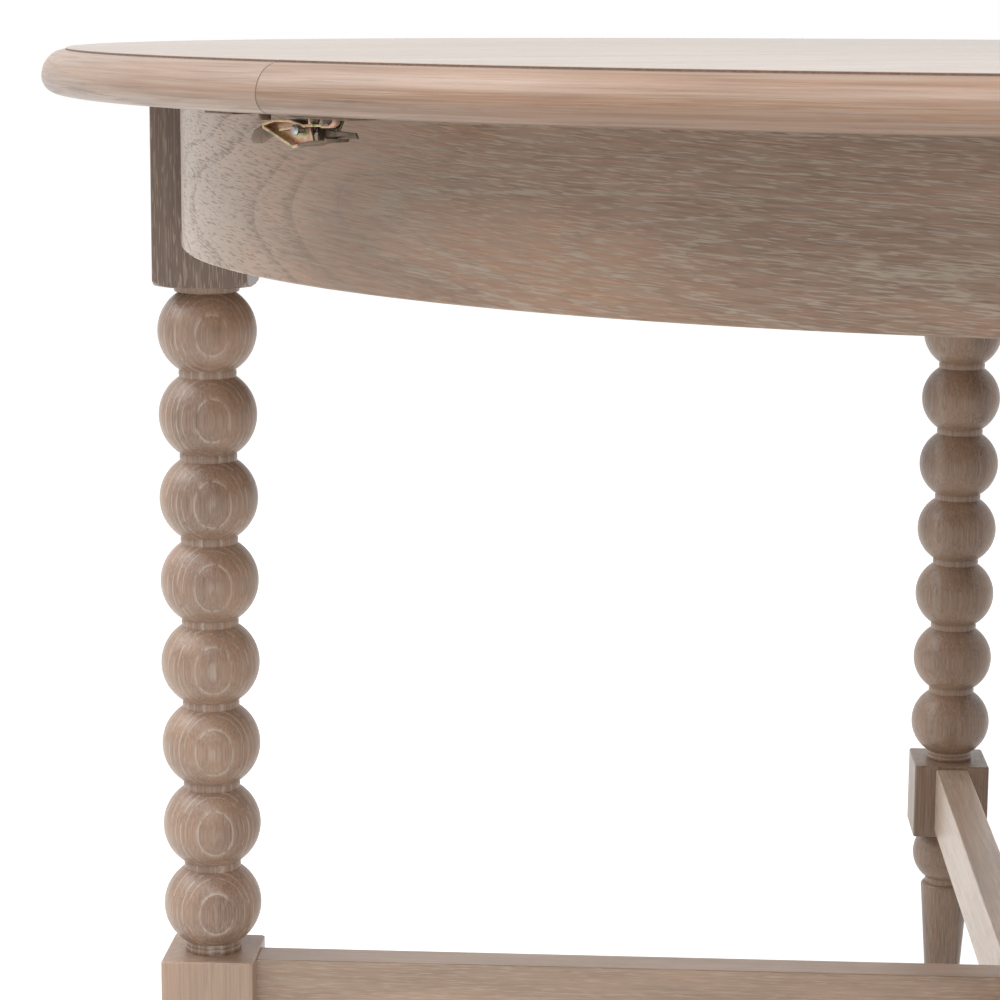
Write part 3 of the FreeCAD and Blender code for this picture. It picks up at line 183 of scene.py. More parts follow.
def limed_oak(name, ground, shade, lime, pith=(0, 0), turn=(0, 0, 0), ring_gap=3.6, ring_line=0.5,
              lime_share=0.8, pore=(0.8, 22), pore_band=(0.60, 0.67), hue="#9C8B76", hue_share=0.25,
              bend=None, boards=None, wander=7.0, gloss=0.42, blocks=None, dark_pores_and_sheen=None, stained=None):
    """Limed oak as a solid wood: rings about a pith, long pores filled with lime, a thin satin lacquer.

    It gives a warm brown with fine pale lines along the grain and a soft sheen. Oak's pores are about
    0.3 mm wide, too fine to show here, so they are drawn three times as wide. pith is the rings' middle
    in millimetres across the grain, bend the heading and radius of a piece that follows the ring, and
    boards the width, start and depth to the pith of glued boards. blocks is the length of the short
    blocks glued on under a rim, and the height that they reach, and dark_pores_and_sheen the stretch
    along the grain over which dark pores give way to pale ones; towards the dark end the wood is paler,
    a painted sheen. pore is the width and length of a pore, pore_band how sharply it ends, and hue the
    greyer streaks' colour. stained is the height from which the brown is darker, a painted shade
    under the table top, and the lime stronger, and how much paler the foot and its block are, a painted
    light, or darker below nothing, a painted shade.
    """
    material, tree, shader, place = new_finish(name)
    if bend:
        heading, radius = bend
        facing = add(tree, "ShaderNodeMapping", {"Vector": place, "Rotation": (0, 0, -math.radians(heading))})
        parts = add(tree, "ShaderNodeSeparateXYZ", {0: facing}).outputs
        angle = add(tree, "ShaderNodeMath", {0: parts["Y"], 1: parts["X"]}, operation="ARCTAN2")
        length = add(tree, "ShaderNodeMath", {0: angle, 1: radius * MM}, operation="MULTIPLY")
        flat = add(tree, "ShaderNodeCombineXYZ", {0: parts["X"], 1: parts["Y"]})
        out = add(tree, "ShaderNodeVectorMath", {0: flat}, operation="LENGTH")
        depth = add(tree, "ShaderNodeMath", {0: out, 1: radius * MM}, operation="SUBTRACT")
        place = add(tree, "ShaderNodeCombineXYZ", {0: depth, 1: parts["Z"], 2: length})
    grain = add(tree, "ShaderNodeMapping", {"Vector": place, "Rotation": turn, "Scale": (1 / MM,) * 3,
                                            "Location": (-pith[0], -pith[1], 0)})
    board_tone = None
    if blocks:
        length, reach = blocks
        parts = add(tree, "ShaderNodeSeparateXYZ", {0: grain}).outputs
        share = add(tree, "ShaderNodeMath", {0: parts["Z"], 1: length}, operation="DIVIDE")
        number = add(tree, "ShaderNodeMath", {0: share}, operation="FLOOR")
        chance = add(tree, "ShaderNodeTexWhiteNoise", {"W": number}, noise_dimensions="1D").outputs
        below = add(tree, "ShaderNodeMath", {0: parts["Y"], 1: reach - pith[1]}, operation="LESS_THAN")
        board_tone = add(tree, "ShaderNodeMath", {0: chance["Value"], 1: below}, operation="MULTIPLY")
    if boards:
        width, start, pith_depth = boards
        parts = add(tree, "ShaderNodeSeparateXYZ", {0: grain}).outputs
        share = add(tree, "ShaderNodeMath", {0: parts["X"], 1: start}, operation="SUBTRACT")
        share = add(tree, "ShaderNodeMath", {0: share, 1: width}, operation="DIVIDE")
        number = add(tree, "ShaderNodeMath", {0: share}, operation="FLOOR")
        chance = add(tree, "ShaderNodeTexWhiteNoise", {"W": number}, noise_dimensions="1D").outputs
        within = add(tree, "ShaderNodeMath", {0: share}, operation="FRACT")
        local = add(tree, "ShaderNodeMath", {0: within, 1: width}, operation="MULTIPLY")
        shift = add(tree, "ShaderNodeVectorMath", {0: chance["Color"], 1: (-width, pith_depth, 9 * width)},
                    operation="MULTIPLY")
        flat = add(tree, "ShaderNodeCombineXYZ", {0: local, 1: parts["Y"], 2: parts["Z"]})
        grain = add(tree, "ShaderNodeVectorMath", {0: flat, 1: shift})
        board_tone = chance["Value"]
    sizes = {"pore": (*pore, 1.0, 0.5), **OAK_NOISE}
    bands = {"pore": (0.11, *pore_band, 1.0), "streak": (0, 0.42, 0.66, hue_share), **OAK_BAND}
    if dark_pores_and_sheen:
        sizes["bare pore"] = DARK_PORE_NOISE
        bands["bare pore"] = DARK_PORE_BAND
    if stained:
        sizes["stained pore"] = TOP_BLOCK_PORE_NOISE
        bands["stained pore"] = TOP_BLOCK_PORE_BAND
    noise = {}
    for label, (across, along, detail, roughness) in sizes.items():
        scaled = add(tree, "ShaderNodeVectorMath", {0: grain, 1: (1 / across, 1 / across, 1 / along)},
                     operation="MULTIPLY")
        noise[label] = add(tree, "ShaderNodeTexNoise", {"Vector": scaled, "Scale": 1.0, "Detail": detail,
                                                        "Roughness": roughness})
    smooth = {"interpolation_type": "SMOOTHSTEP"}
    drift = add(tree, "ShaderNodeVectorMath", {0: noise["drift"].outputs["Color"], 1: (0.5,) * 3},
                operation="SUBTRACT")
    drift = add(tree, "ShaderNodeVectorMath", {0: drift, 1: (wander * 4, wander * 4, 0)},
                operation="MULTIPLY")
    bowed = add(tree, "ShaderNodeVectorMath", {0: grain, 1: drift})
    flat = add(tree, "ShaderNodeVectorMath", {0: bowed, 1: (1, 1, 0)}, operation="MULTIPLY")
    ring = add(tree, "ShaderNodeVectorMath", {0: flat}, operation="LENGTH")
    years = add(tree, "ShaderNodeMath", {0: ring, 1: ring_gap}, operation="DIVIDE")
    uneven = add(tree, "ShaderNodeTexNoise", {"W": years, "Scale": 0.45, "Detail": 1.0},
                 noise_dimensions="1D")
    years = add(tree, "ShaderNodeMath", {0: uneven, 1: UNEVEN_YEARS, 2: years}, operation="MULTIPLY_ADD")
    season = add(tree, "ShaderNodeMath", {0: years}, operation="FRACT")
    early = add(tree, "ShaderNodeMapRange", {"Value": season, "From Max": EARLY_WOOD_SHARE, "To Min": 1.0,
                                             "To Max": 0.0}, **smooth)
    edge = add(tree, "ShaderNodeMapRange", {"Value": season, "From Max": YEAR_EDGE_SHARE}, **smooth)
    lines = add(tree, "ShaderNodeMath", {0: early, 1: edge}, operation="MULTIPLY")
    figure = {}
    for label, (early_share, low, high, most) in bands.items():
        value = noise[label]
        if early_share:
            value = add(tree, "ShaderNodeMath", {0: early, 1: early_share, 2: value},
                        operation="MULTIPLY_ADD")
        figure[label] = add(tree, "ShaderNodeMapRange", {"Value": value, "From Min": low, "From Max": high,
                                                         "To Max": most}, **smooth)
    pores = figure["pore"]
    if dark_pores_and_sheen:
        start, end = dark_pores_and_sheen
        along = add(tree, "ShaderNodeSeparateXYZ", {0: grain}).outputs["Z"]
        along = add(tree, "ShaderNodeMath", {0: noise["cloud"], 1: (end - start) / 2, 2: along},
                    operation="MULTIPLY_ADD")
        limed = add(tree, "ShaderNodeMapRange", {"Value": along, "From Min": start, "From Max": end},
                    **smooth)
        pores = add(tree, "ShaderNodeMix", {0: limed, 2: figure["bare pore"], 3: pores})
    tone = add(tree, "ShaderNodeMath", {0: figure["cloud"], 1: figure["fibre"]}, operation="ADD")
    if board_tone:
        tone = add(tree, "ShaderNodeMath", {0: board_tone, 1: BLOCK_TONE if blocks else BOARD_TONE,
                                             2: tone}, operation="MULTIPLY_ADD")
    tone = add(tree, "ShaderNodeMath", {0: early, 1: EARLY_WOOD_TONE, 2: tone}, operation="MULTIPLY_ADD")
    wood = add(tree, "ShaderNodeMix", {0: tone, 6: linear(shade), 7: linear(ground)}, data_type="RGBA")
    wood = add(tree, "ShaderNodeMix", {0: figure["streak"], 6: wood, 7: linear(hue)}, data_type="RGBA")
    lines = add(tree, "ShaderNodeMath", {0: lines, 1: figure["break"]}, operation="MULTIPLY")
    share = lime_share
    # Painted shade: from the given height up, the top block's brown is darker, where the table top shades it
    if stained:
        shade_height, foot_light = stained
        height = add(tree, "ShaderNodeSeparateXYZ", {0: grain}).outputs["Z"]
        stain = {"Value": height, "From Min": shade_height - 1, "From Max": shade_height + 1}
        above = add(tree, "ShaderNodeMapRange", stain, **smooth)
        dark = add(tree, "ShaderNodeMapRange", {**stain, "To Max": PAINTED_SHADE_SHARE}, **smooth)
        share = add(tree, "ShaderNodeMapRange", {**stain, "To Min": lime_share, "To Max": SHADED_TOP_LIME},
                    **smooth)
        wood = add(tree, "ShaderNodeMix", {0: dark, 6: wood, 7: linear(PAINTED_SHADE_OAK)}, data_type="RGBA")
        pores = add(tree, "ShaderNodeMix", {0: above, 2: pores, 3: figure["stained pore"]})
        turned = add(tree, "ShaderNodeMapRange", {"Value": height, "From Min": STRETCHER_BLOCK_TOP - 1,
                                                  "From Max": STRETCHER_BLOCK_TOP + 1}, **smooth)
        fewer = add(tree, "ShaderNodeMath", {0: turned, 1: 1 - LINES_UNDER_BEADS, 2: LINES_UNDER_BEADS},
                    operation="MULTIPLY_ADD")
        fewer = add(tree, "ShaderNodeMath", {0: dark, 1: LINES_LOST_TO_SHADE, 2: fewer},
                    operation="MULTIPLY_ADD")
        lines = add(tree, "ShaderNodeMath", {0: lines, 1: fewer}, operation="MULTIPLY")
        # The foot and its block are paler with painted light, or darker with painted shade where the tone is
        # below nothing
        toned = add(tree, "ShaderNodeMath", {0: turned, 1: -abs(foot_light), 2: abs(foot_light)},
                    operation="MULTIPLY_ADD")
        foot = linear(LIT_FOOT if foot_light > 0 else SHADED_FOOT)
        wood = add(tree, "ShaderNodeMix", {0: toned, 6: wood, 7: foot}, data_type="RGBA")
    filled = add(tree, "ShaderNodeMath", {0: pores, 1: share}, operation="MULTIPLY")
    filled = add(tree, "ShaderNodeMath", {0: lines, 1: ring_line, 2: filled}, operation="MULTIPLY_ADD")
    fill = linear(lime)
    # Painted sheen: towards the end where the pores turn dark, the wood turns paler
    if dark_pores_and_sheen:
        fill = add(tree, "ShaderNodeMix", {0: limed, 6: linear(DARK_PORE), 7: fill}, data_type="RGBA")
        paler = add(tree, "ShaderNodeMapRange", {"Value": along, "From Min": start - PALER_FROM,
                                                 "From Max": end - PALER_UNTIL, "To Min": 0.5,
                                                 "To Max": 0.0},
                    **smooth)
        wood = add(tree, "ShaderNodeMix", {0: paler, 6: wood, 7: linear(PAINTED_SHEEN_OAK)}, data_type="RGBA")
    colour = add(tree, "ShaderNodeMix", {0: filled, 6: wood, 7: fill}, data_type="RGBA")
    rough = add(tree, "ShaderNodeMapRange", {"Value": pores, "To Min": gloss, "To Max": PORE_ROUGHNESS},
                **smooth)
    relief = add(tree, "ShaderNodeBump", {"Height": pores, "Strength": 0.5, "Distance": PORE_DEPTH * MM},
                 invert=True)
    feed(tree, shader, {"Base Color": colour, "Roughness": rough, "Normal": relief, "Coat Weight": LACQUER,
                        "Coat Roughness": LACQUER_ROUGHNESS})
    return material


def open_tree(name, inputs):
    """A geometry tree with named inputs, and its input node."""
    tree = bpy.data.node_groups.new(name, "GeometryNodeTree")
    tree.interface.new_socket("Geometry", in_out="INPUT", socket_type="NodeSocketGeometry")
    for label, kind in inputs.items():
        tree.interface.new_socket(label, in_out="INPUT", socket_type=f"NodeSocket{kind}")
    tree.interface.new_socket("Geometry", in_out="OUTPUT", socket_type="NodeSocketGeometry")
    return tree, add(tree, "NodeGroupInput").outputs


def close_tree(tree, geometry, finish):
    """End a tree with real meshes of one finish."""
    real = add(tree, "GeometryNodeRealizeInstances", {0: geometry})
    dressed = add(tree, "GeometryNodeSetMaterial", {"Geometry": real, "Material": finish})
    add(tree, "NodeGroupOutput", {0: dressed})


def grow(mesh, tree, values):
    """Run a geometry tree on a mesh and give back the plain mesh."""
    carrier = bpy.data.objects.new(mesh.name, mesh)
    bpy.context.scene.collection.objects.link(carrier)
    modifier = carrier.modifiers.new("growth", "NODES")
    modifier.node_group = tree
    for item in tree.interface.items_tree:
        if item.in_out == "INPUT" and item.name in values:
            modifier[item.identifier] = values[item.name]
    whole = carrier.evaluated_get(bpy.context.evaluated_depsgraph_get())
    plain = bpy.data.meshes.new_from_object(whole)
    bpy.data.objects.remove(carrier)
    return plain


def bobbins():
    """A tree that adds a string of bobbins to a leg: a tube whose radius swells once in each pitch."""
    tree, given = open_tree("bobbins", {
        "Count": "Int", "Bottom": "Float", "Pitch": "Float", "Bead Radius": "Float", "Collar Radius": "Float",
        "Collar Length": "Float", "Collar Swell": "Float", "Variation": "Float", "Rows": "Int",
        "Around": "Int", "Seed": "Int", "Finish": "Material"})
    where = add(tree, "ShaderNodeSeparateXYZ", {0: add(tree, "GeometryNodeInputPosition")}).outputs
    value = dict([*given.items(), *where.items()])
    value["chance"] = add(tree, "FunctionNodeRandomValue", {"Max": given["Variation"], "Seed": given["Seed"]},
                          data_type="FLOAT")

    # The name, operation and terms of each sum: where a point of the tube lies in its bobbin, the bead, which
    # is an arc over the length that the collars leave it, and the collar, crowned by a parabola
    for name, operation, *terms in (
            ("length", "MULTIPLY", "Count", "Pitch"), ("rows", "MULTIPLY", "Count", "Rows"),
            ("half length", "DIVIDE", "length", 2.0), ("height", "ADD", "Z", "half length"),
            ("turn", "DIVIDE", "height", "Pitch"), ("number", "FLOOR", "turn"), ("part", "FRACT", "turn"),
            ("centred", "SUBTRACT", "part", 0.5), ("along", "MULTIPLY", "centred", "Pitch"),
            ("least", "MULTIPLY", "Variation", -1.0), ("widest", "ADD", "Bead Radius", "chance"),
            ("half pitch", "DIVIDE", "Pitch", 2.0), ("half collar", "DIVIDE", "Collar Length", 2.0),
            ("half bead", "SUBTRACT", "half pitch", "half collar"),
            ("swell", "SUBTRACT", "widest", "Collar Radius"), ("swell square", "MULTIPLY", "swell", "swell"),
            ("bead square", "MULTIPLY", "half bead", "half bead"),
            ("square", "ADD", "swell square", "bead square"), ("twice swell", "MULTIPLY", "swell", 2.0),
            ("arc", "DIVIDE", "square", "twice swell"), ("arc square", "MULTIPLY", "arc", "arc"),
            ("along square", "MULTIPLY", "along", "along"),
            ("left", "SUBTRACT", "arc square", "along square"), ("kept", "MAXIMUM", "left", 0.0),
            ("rise", "SQRT", "kept"), ("sunk", "SUBTRACT", "widest", "arc"),
            ("bead", "ADD", "rise", "sunk"), ("off centre", "ABSOLUTE", "along"),
            ("gap", "SUBTRACT", "half pitch", "off centre"), ("twice gap", "MULTIPLY", "gap", 2.0),
            ("reach", "DIVIDE", "twice gap", "Collar Length"), ("share", "MINIMUM", "reach", 1.0),
            ("share square", "MULTIPLY", "share", "share"), ("fall", "SUBTRACT", 1.0, "share square"),
            ("crown", "MULTIPLY", "fall", "Collar Swell"), ("collar", "ADD", "Collar Radius", "crown"),
            ("radius", "MAXIMUM", "bead", "collar"), ("x", "MULTIPLY", "X", "radius"),
            ("y", "MULTIPLY", "Y", "radius"), ("z", "ADD", "height", "Bottom")):
        value[name] = add(tree, "ShaderNodeMath", {slot: value.get(term, term)
                                                   for slot, term in enumerate(terms)}, operation=operation)
    feed(tree, value["chance"], {"Min": value["least"], "ID": value["number"]})
    tube = add(tree, "GeometryNodeMeshCylinder", {"Vertices": given["Around"], "Side Segments": value["rows"],
                                                  "Radius": 1.0, "Depth": value["length"]}, fill_type="NONE")
    place = add(tree, "ShaderNodeCombineXYZ", {0: value["x"], 1: value["y"], 2: value["z"]})
    shaped = add(tree, "GeometryNodeSetPosition", {"Geometry": tube.outputs["Mesh"], "Position": place})
    whole = add(tree, "GeometryNodeJoinGeometry")
    tree.links.new(given["Geometry"], whole.inputs[0])
    tree.links.new(shaped.outputs[0], whole.inputs[0])
    sewn = add(tree, "GeometryNodeMergeByDistance", {"Geometry": whole, "Distance": 0.02 * MM})
    close_tree(tree, sewn, given["Finish"])
    return tree


def round_ring(radius):
    """Points round a leg at one radius."""
    turns = [math.tau * step / LEG_AROUND for step in range(LEG_AROUND)]
    return [(radius * math.cos(turn), radius * math.sin(turn)) for turn in turns]


def square_ring(inset=0.0, limit=None):
    """Points round a block with small arrises, as many as on a turned ring, kept within a radius."""
    half = BLOCK_WIDTH / 2 - inset
    per_side = LEG_AROUND // SIDES_OF_BLOCK
    flats = per_side - 2 * ARRIS_STEPS
    side = []
    for step in range(per_side):
        if step < ARRIS_STEPS:
            lean = math.radians(45) * (step / ARRIS_STEPS - 1)
        elif step > per_side - ARRIS_STEPS:
            lean = math.radians(45) * (step - per_side + ARRIS_STEPS) / ARRIS_STEPS
        else:
            lean = 0.0
        share = min(max((step - ARRIS_STEPS) / flats, 0), 1) * 2 - 1
        side.append((half - BLOCK_ARRIS * (1 - math.cos(lean)),
                     share * (half - BLOCK_ARRIS) + BLOCK_ARRIS * math.sin(lean)))
    points = []
    eighth = LEG_AROUND // 8
    for quarter in range(SIDES_OF_BLOCK):
        turn = math.radians(90) * quarter
        for out, across in side:
            points.append((out * math.cos(turn) - across * math.sin(turn),
                           out * math.sin(turn) + across * math.cos(turn)))
    points = points[eighth:] + points[:eighth]
    if limit:
        points = [(x * min(1, limit / math.hypot(x, y)), y * min(1, limit / math.hypot(x, y)))
                  for x, y in points]
    return points


def stack(mesh, rings, cap_first, cap_last):
    """Join rings of points, each with its height, into a skin."""
    rows = [[mesh.verts.new((x * MM, y * MM, height * MM)) for x, y in ring] for ring, height in rings]
    for lower, upper in zip(rows, rows[1:]):
        for step in range(LEG_AROUND):
            after = (step + 1) % LEG_AROUND
            mesh.faces.new((lower[step], lower[after], upper[after], upper[step]))
    if cap_first:
        mesh.faces.new(list(reversed(rows[0])))
    if cap_last:
        mesh.faces.new(rows[-1])


def plain_mesh(name, shape):
    """A finished shape as a mesh."""
    mesh = bpy.data.meshes.new(name)
    shape.to_mesh(mesh)
    shape.free()
    return mesh


def arc_bulge(reach, length, share):
    """How far an arc stands out of its chord at a share of its length."""
    radius = (reach * reach + length * length / 4) / (2 * reach)
    along = (share - 0.5) * length
    return math.sqrt(radius * radius - along * along) - radius + reach


def leg_blank(foot, top):
    """The foot, bun and lower block, and the neck and top block, open where the bobbins go."""
    block_bottom = STRETCHER_BLOCK_TOP - STRETCHER_BLOCK_DEPTH
    ankle_top = block_bottom - BUN_LENGTH
    ankle_bottom = ankle_top - ANKLE_LENGTH
    lower = []
    shoulder = FOOT_TOP_RADIUS - ANKLE_RADIUS
    for step in range(FOOT_STEPS + 1):
        share = step / FOOT_STEPS
        lower.append((round_ring(FOOT_BASE_RADIUS + (FOOT_TOP_RADIUS - FOOT_BASE_RADIUS) * share),
                      foot + (ankle_bottom - shoulder - foot) * share))
    for step in range(1, FOOT_SHOULDER_STEPS + 1):
        lean = math.radians(90) * step / FOOT_SHOULDER_STEPS
        lower.append((round_ring(ANKLE_RADIUS + shoulder * math.cos(lean)),
                      ankle_bottom - shoulder + shoulder * math.sin(lean)))
    for step in range(BUN_STEPS + 1):
        share = step / BUN_STEPS
        lower.append((round_ring(ANKLE_RADIUS + arc_bulge(BUN_RADIUS - ANKLE_RADIUS, BUN_LENGTH, share)),
                      ankle_top + BUN_LENGTH * share))
    lower.append((square_ring(BLOCK_CHAMFER), block_bottom))
    lower.append((square_ring(), block_bottom + BLOCK_CHAMFER))
    lower.append((square_ring(), STRETCHER_BLOCK_TOP - BLOCK_CHAMFER))
    lower.append((square_ring(BLOCK_CHAMFER), STRETCHER_BLOCK_TOP))
    for step in range(LOWER_NECK_STEPS):
        share = step / LOWER_NECK_STEPS
        lower.append((round_ring(COLLAR_RADIUS - LOWER_NECK_SWELL / 2
                                 + LOWER_NECK_SWELL * math.sin(math.pi * share)),
                      STRETCHER_BLOCK_TOP + LOWER_NECK_LENGTH * share))
    lower.append((round_ring(COLLAR_RADIUS + COLLAR_SWELL), STRETCHER_BLOCK_TOP + LOWER_NECK_LENGTH))
    upper_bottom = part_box("apron_front")[0].z / MM - BLOCK_BELOW_APRON
    ring_bottom = upper_bottom - NECK_LENGTH - COLLAR_LENGTH / 2 + NECK_EASE
    upper = [(round_ring(COLLAR_RADIUS + COLLAR_SWELL), upper_bottom - NECK_LENGTH),
             (round_ring(COLLAR_RADIUS + COLLAR_SWELL), ring_bottom),
             (round_ring(NECK_RING_RADIUS - NECK_EASE), ring_bottom),
             (round_ring(NECK_RING_RADIUS), ring_bottom + NECK_EASE),
             (round_ring(NECK_RING_RADIUS), upper_bottom - NECK_EASE),
             (round_ring(NECK_RING_RADIUS - NECK_EASE), upper_bottom)]
    for step in range(SHOULDER_STEPS + 1):
        rise = SHOULDER_ROUND * step / SHOULDER_STEPS
        limit = SHOULDER_RADIUS + math.sqrt(SHOULDER_ROUND ** 2 - (SHOULDER_ROUND - rise) ** 2)
        upper.append((square_ring(limit=limit), upper_bottom + rise))
    upper.append((square_ring(), top - BLOCK_CHAMFER))
    upper.append((square_ring(BLOCK_CHAMFER), top))
    shape = bmesh.new()
    stack(shape, lower, True, False)
    stack(shape, upper, False, True)
    return plain_mesh("leg_blank", shape), upper_bottom


def piece(name, mesh, body, slot, *nodes):
    """An object at the origin, smooth between creases, that rides on a body and stands for CAD nodes."""
    mesh.shade_smooth()
    mesh.set_sharp_from_angle(angle=CREASE)
    obj = bpy.data.objects.new(name, mesh)
    bpy.context.scene.collection.objects.link(obj)
    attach(obj, body)
    if nodes:
        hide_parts(*nodes)
    return obj


bobbin_tree = bobbins()
for corner, (pith_heading, pith_reach, ring_line, foot_light, ground, shade) in LEGS.items():
    low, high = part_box(f"leg_{corner}")
    centre = (low + high) / 2
    heading = math.radians(pith_heading)
    upper_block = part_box("apron_front")[0].z / MM - BLOCK_BELOW_APRON
    oak = limed_oak(f"limed_oak_turned_{corner}", ground, shade, "#C9B8A9",
                    pith=(centre.x / MM + pith_reach * math.cos(heading),
                          centre.y / MM + pith_reach * math.sin(heading)),
                    ring_gap=5.2, ring_line=ring_line, lime_share=0.22, pore=(0.9, 34),
                    pore_band=(0.52, 0.66), hue="#96826F", hue_share=0.4, wander=2.0,
                    stained=(upper_block, foot_light))
    blank, beads_top = leg_blank(low.z / MM, high.z / MM)
    beads_bottom = STRETCHER_BLOCK_TOP + LOWER_NECK_LENGTH
    pitch = (beads_top - NECK_LENGTH - beads_bottom) / BEAD_COUNT
    turned_leg = grow(blank, bobbin_tree, {
        "Count": BEAD_COUNT, "Bottom": beads_bottom * MM, "Pitch": pitch * MM,
        "Bead Radius": BEAD_RADIUS * MM, "Collar Radius": COLLAR_RADIUS * MM,
        "Collar Length": COLLAR_LENGTH * MM, "Collar Swell": COLLAR_SWELL * MM,
        "Variation": BEAD_VARIATION * MM,
        "Rows": round(pitch / (COLLAR_LENGTH / 2)) * COLLAR_ROWS, "Around": LEG_AROUND,
        "Seed": list(LEGS).index(corner), "Finish": oak})
    turned_leg.transform(Matrix.Translation((centre.x, centre.y, 0))
                         @ Matrix.Rotation(math.atan2(centre.y, centre.x), 4, "Z"))
    piece(f"turned_leg_{corner}", turned_leg, "base", "limed_oak", f"leg_{corner}")


# The glides under the feet
# A disc with a nail through it, pressed up into the end of each foot. It is moulded of dark nylon,
# which looks dull and faintly mottled.

def plain_finish(name, colour, second, roughness, grain, metallic=0.0, bump=0.1):
    """A plain finish with a soft mottle of two colours and a fine bump, its grain in millimetres."""
    material, tree, shader, place = new_finish(name)
    mottle = add(tree, "ShaderNodeTexNoise", {"Vector": place, "Scale": 1 / (grain * MM), "Detail": 3.0})
    share = add(tree, "ShaderNodeMapRange", {"Value": mottle, "From Min": 0.35, "From Max": 0.65})
    colours = add(tree, "ShaderNodeMix", {0: share, 6: linear(colour), 7: linear(second)}, data_type="RGBA")
    rough = add(tree, "ShaderNodeMapRange", {"Value": mottle, "To Min": roughness - 0.08,
                                             "To Max": roughness + 0.08})
    fine = add(tree, "ShaderNodeTexNoise", {"Vector": place, "Scale": 4 / (grain * MM), "Detail": 2.0})
    relief = add(tree, "ShaderNodeBump", {"Height": fine, "Strength": bump, "Distance": 0.1 * MM})
    feed(tree, shader, {"Base Color": colours, "Metallic": metallic, "Roughness": rough, "Normal": relief})
    return material


def dress(material, *nodes):
    """Give CAD nodes a finish."""
    for node in nodes:
        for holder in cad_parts[node].material_slots:
            holder.material = material


dress(plain_finish("moulded_nylon", "#3A3632", "#4A4540", 0.55, 1.2), "floor_glides")


# The crossed stretchers
# Two square-edged oak rails, planed and limed like the legs, halved into each other in the middle and
# tenoned into the leg blocks.

# The under rail's paler browns are painted light, for the sheen on its side, seen at a grazing angle
for node, heading, pith_side, ground, shade in (("stretcher_over", 45, 38, "#C2A48D", "#967C69"),
                                                ("stretcher_under", -45, -44, "#DEC5B0", "#B29A86")):
    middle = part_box(node)[0].z / MM
    dress(limed_oak(f"limed_oak_rail_{heading % 180}", ground, shade, "#D6C8BA",
                    pith=(pith_side, -middle + 40), turn=along_floor(heading), ring_gap=3.4,
                    ring_line=0.12, lime_share=0.35, pore=(0.8, 14), pore_band=(0.52, 0.68),
                    gloss=0.34), node)


# The ring of aprons
# Four curved boards of limed oak between the legs, flush with the legs' tops. The grain follows the
# curve, and towards one end the pores turn dark and the wood paler, a painted sheen.

APRONS = {"front": -90, "right": 0, "back": 90, "left": 180}
APRON_RADIUS = 522.0
APRON_GRAIN_TILT = math.radians(-4)
APRON_GRAIN_FALL = math.radians(-3.5)
for side, heading in APRONS.items():
    dress(limed_oak(f"limed_oak_apron_{side}", "#AC876E", "#765D4A", "#C0B4A5", pith=(-66, 676),
                    turn=(APRON_GRAIN_FALL, APRON_GRAIN_TILT, 0), ring_gap=5.5, ring_line=0.15,
                    lime_share=0.42, pore=(0.8, 100), pore_band=(0.53, 0.67), hue="#978A79",
                    hue_share=0.4, wander=9.0, gloss=0.36, bend=(heading, APRON_RADIUS),
                    dark_pores_and_sheen=(-110, 50)), f"apron_{side}")


# The frame under the top
# Corner braces, cross rails, guide rails, runners and the leaf's cleats, planed from beech and never
# seen from above. Screws and bolts of steel, plated with bright zinc, hold them together.

def planed_beech(name, ground, shade, turn):
    """Planed beech: an even, dull pale brown with short darker flecks along the grain.

    The flecks are 0.1 to 0.3 mm wide, too fine to show, so they are drawn 0.7 mm wide and 3 mm long.
    """
    material, tree, shader, place = new_finish(name)
    grain = add(tree, "ShaderNodeMapping", {"Vector": place, "Rotation": turn, "Scale": (1 / MM,) * 3})
    flecks = add(tree, "ShaderNodeVectorMath", {0: grain, 1: (1.4, 1.4, 0.35)}, operation="MULTIPLY")
    fleck = add(tree, "ShaderNodeTexNoise", {"Vector": flecks, "Scale": 1.0, "Detail": 1.0})
    streaks = add(tree, "ShaderNodeVectorMath", {0: grain, 1: (0.12, 0.12, 0.01)},
                  operation="MULTIPLY")
    streak = add(tree, "ShaderNodeTexNoise", {"Vector": streaks, "Scale": 1.0, "Detail": 3.0})
    dark = add(tree, "ShaderNodeMapRange", {"Value": fleck, "From Min": 0.60, "From Max": 0.72,
                                            "To Max": 0.6})
    tone = add(tree, "ShaderNodeMath", {0: streak, 1: dark}, operation="SUBTRACT", use_clamp=True)
    share = add(tree, "ShaderNodeMapRange", {"Value": tone, "From Min": 0.2, "From Max": 0.7})
    colour = add(tree, "ShaderNodeMix", {0: share, 6: linear(shade), 7: linear(ground)}, data_type="RGBA")
    relief = add(tree, "ShaderNodeBump", {"Height": fleck, "Strength": 0.2, "Distance": 0.1 * MM})
    feed(tree, shader, {"Base Color": colour, "Roughness": 0.6, "Normal": relief})
    return material


beech_across = planed_beech("planed_beech_across", "#CDAA84", "#A9825C", along_floor(0))
beech_forward = planed_beech("planed_beech_forward", "#CBA67F", "#A57F5A", along_floor(90))
beech_upright = planed_beech("planed_beech_braces", "#C8A47E", "#A37D59", (0, 0, 0))
dress(beech_upright, *[f"corner_brace_{corner}" for corner in LEGS])
dress(beech_forward, "cross_rail_left", "cross_rail_right", "leaf_cleats")
dress(beech_across, "guide_rail_front", "guide_rail_back")
dress(beech_across, *[f"runner_{half}_{side}" for half in ("left", "right") for side in ("front", "back")])

# Zinc-plated steel looks grey-white and half bright, with a fine grain
bright_zinc = plain_finish("bright_zinc_steel", "#B4B5B6", "#8E9093", 0.38, 2.5, metallic=1.0)
dress(bright_zinc, "hanger_bolts", "bolt_washers", "bolt_nuts", "rail_screws", "runner_screws_left",
      "runner_screws_right", "stop_pegs_left", "stop_pegs_right", "pinion_axles")


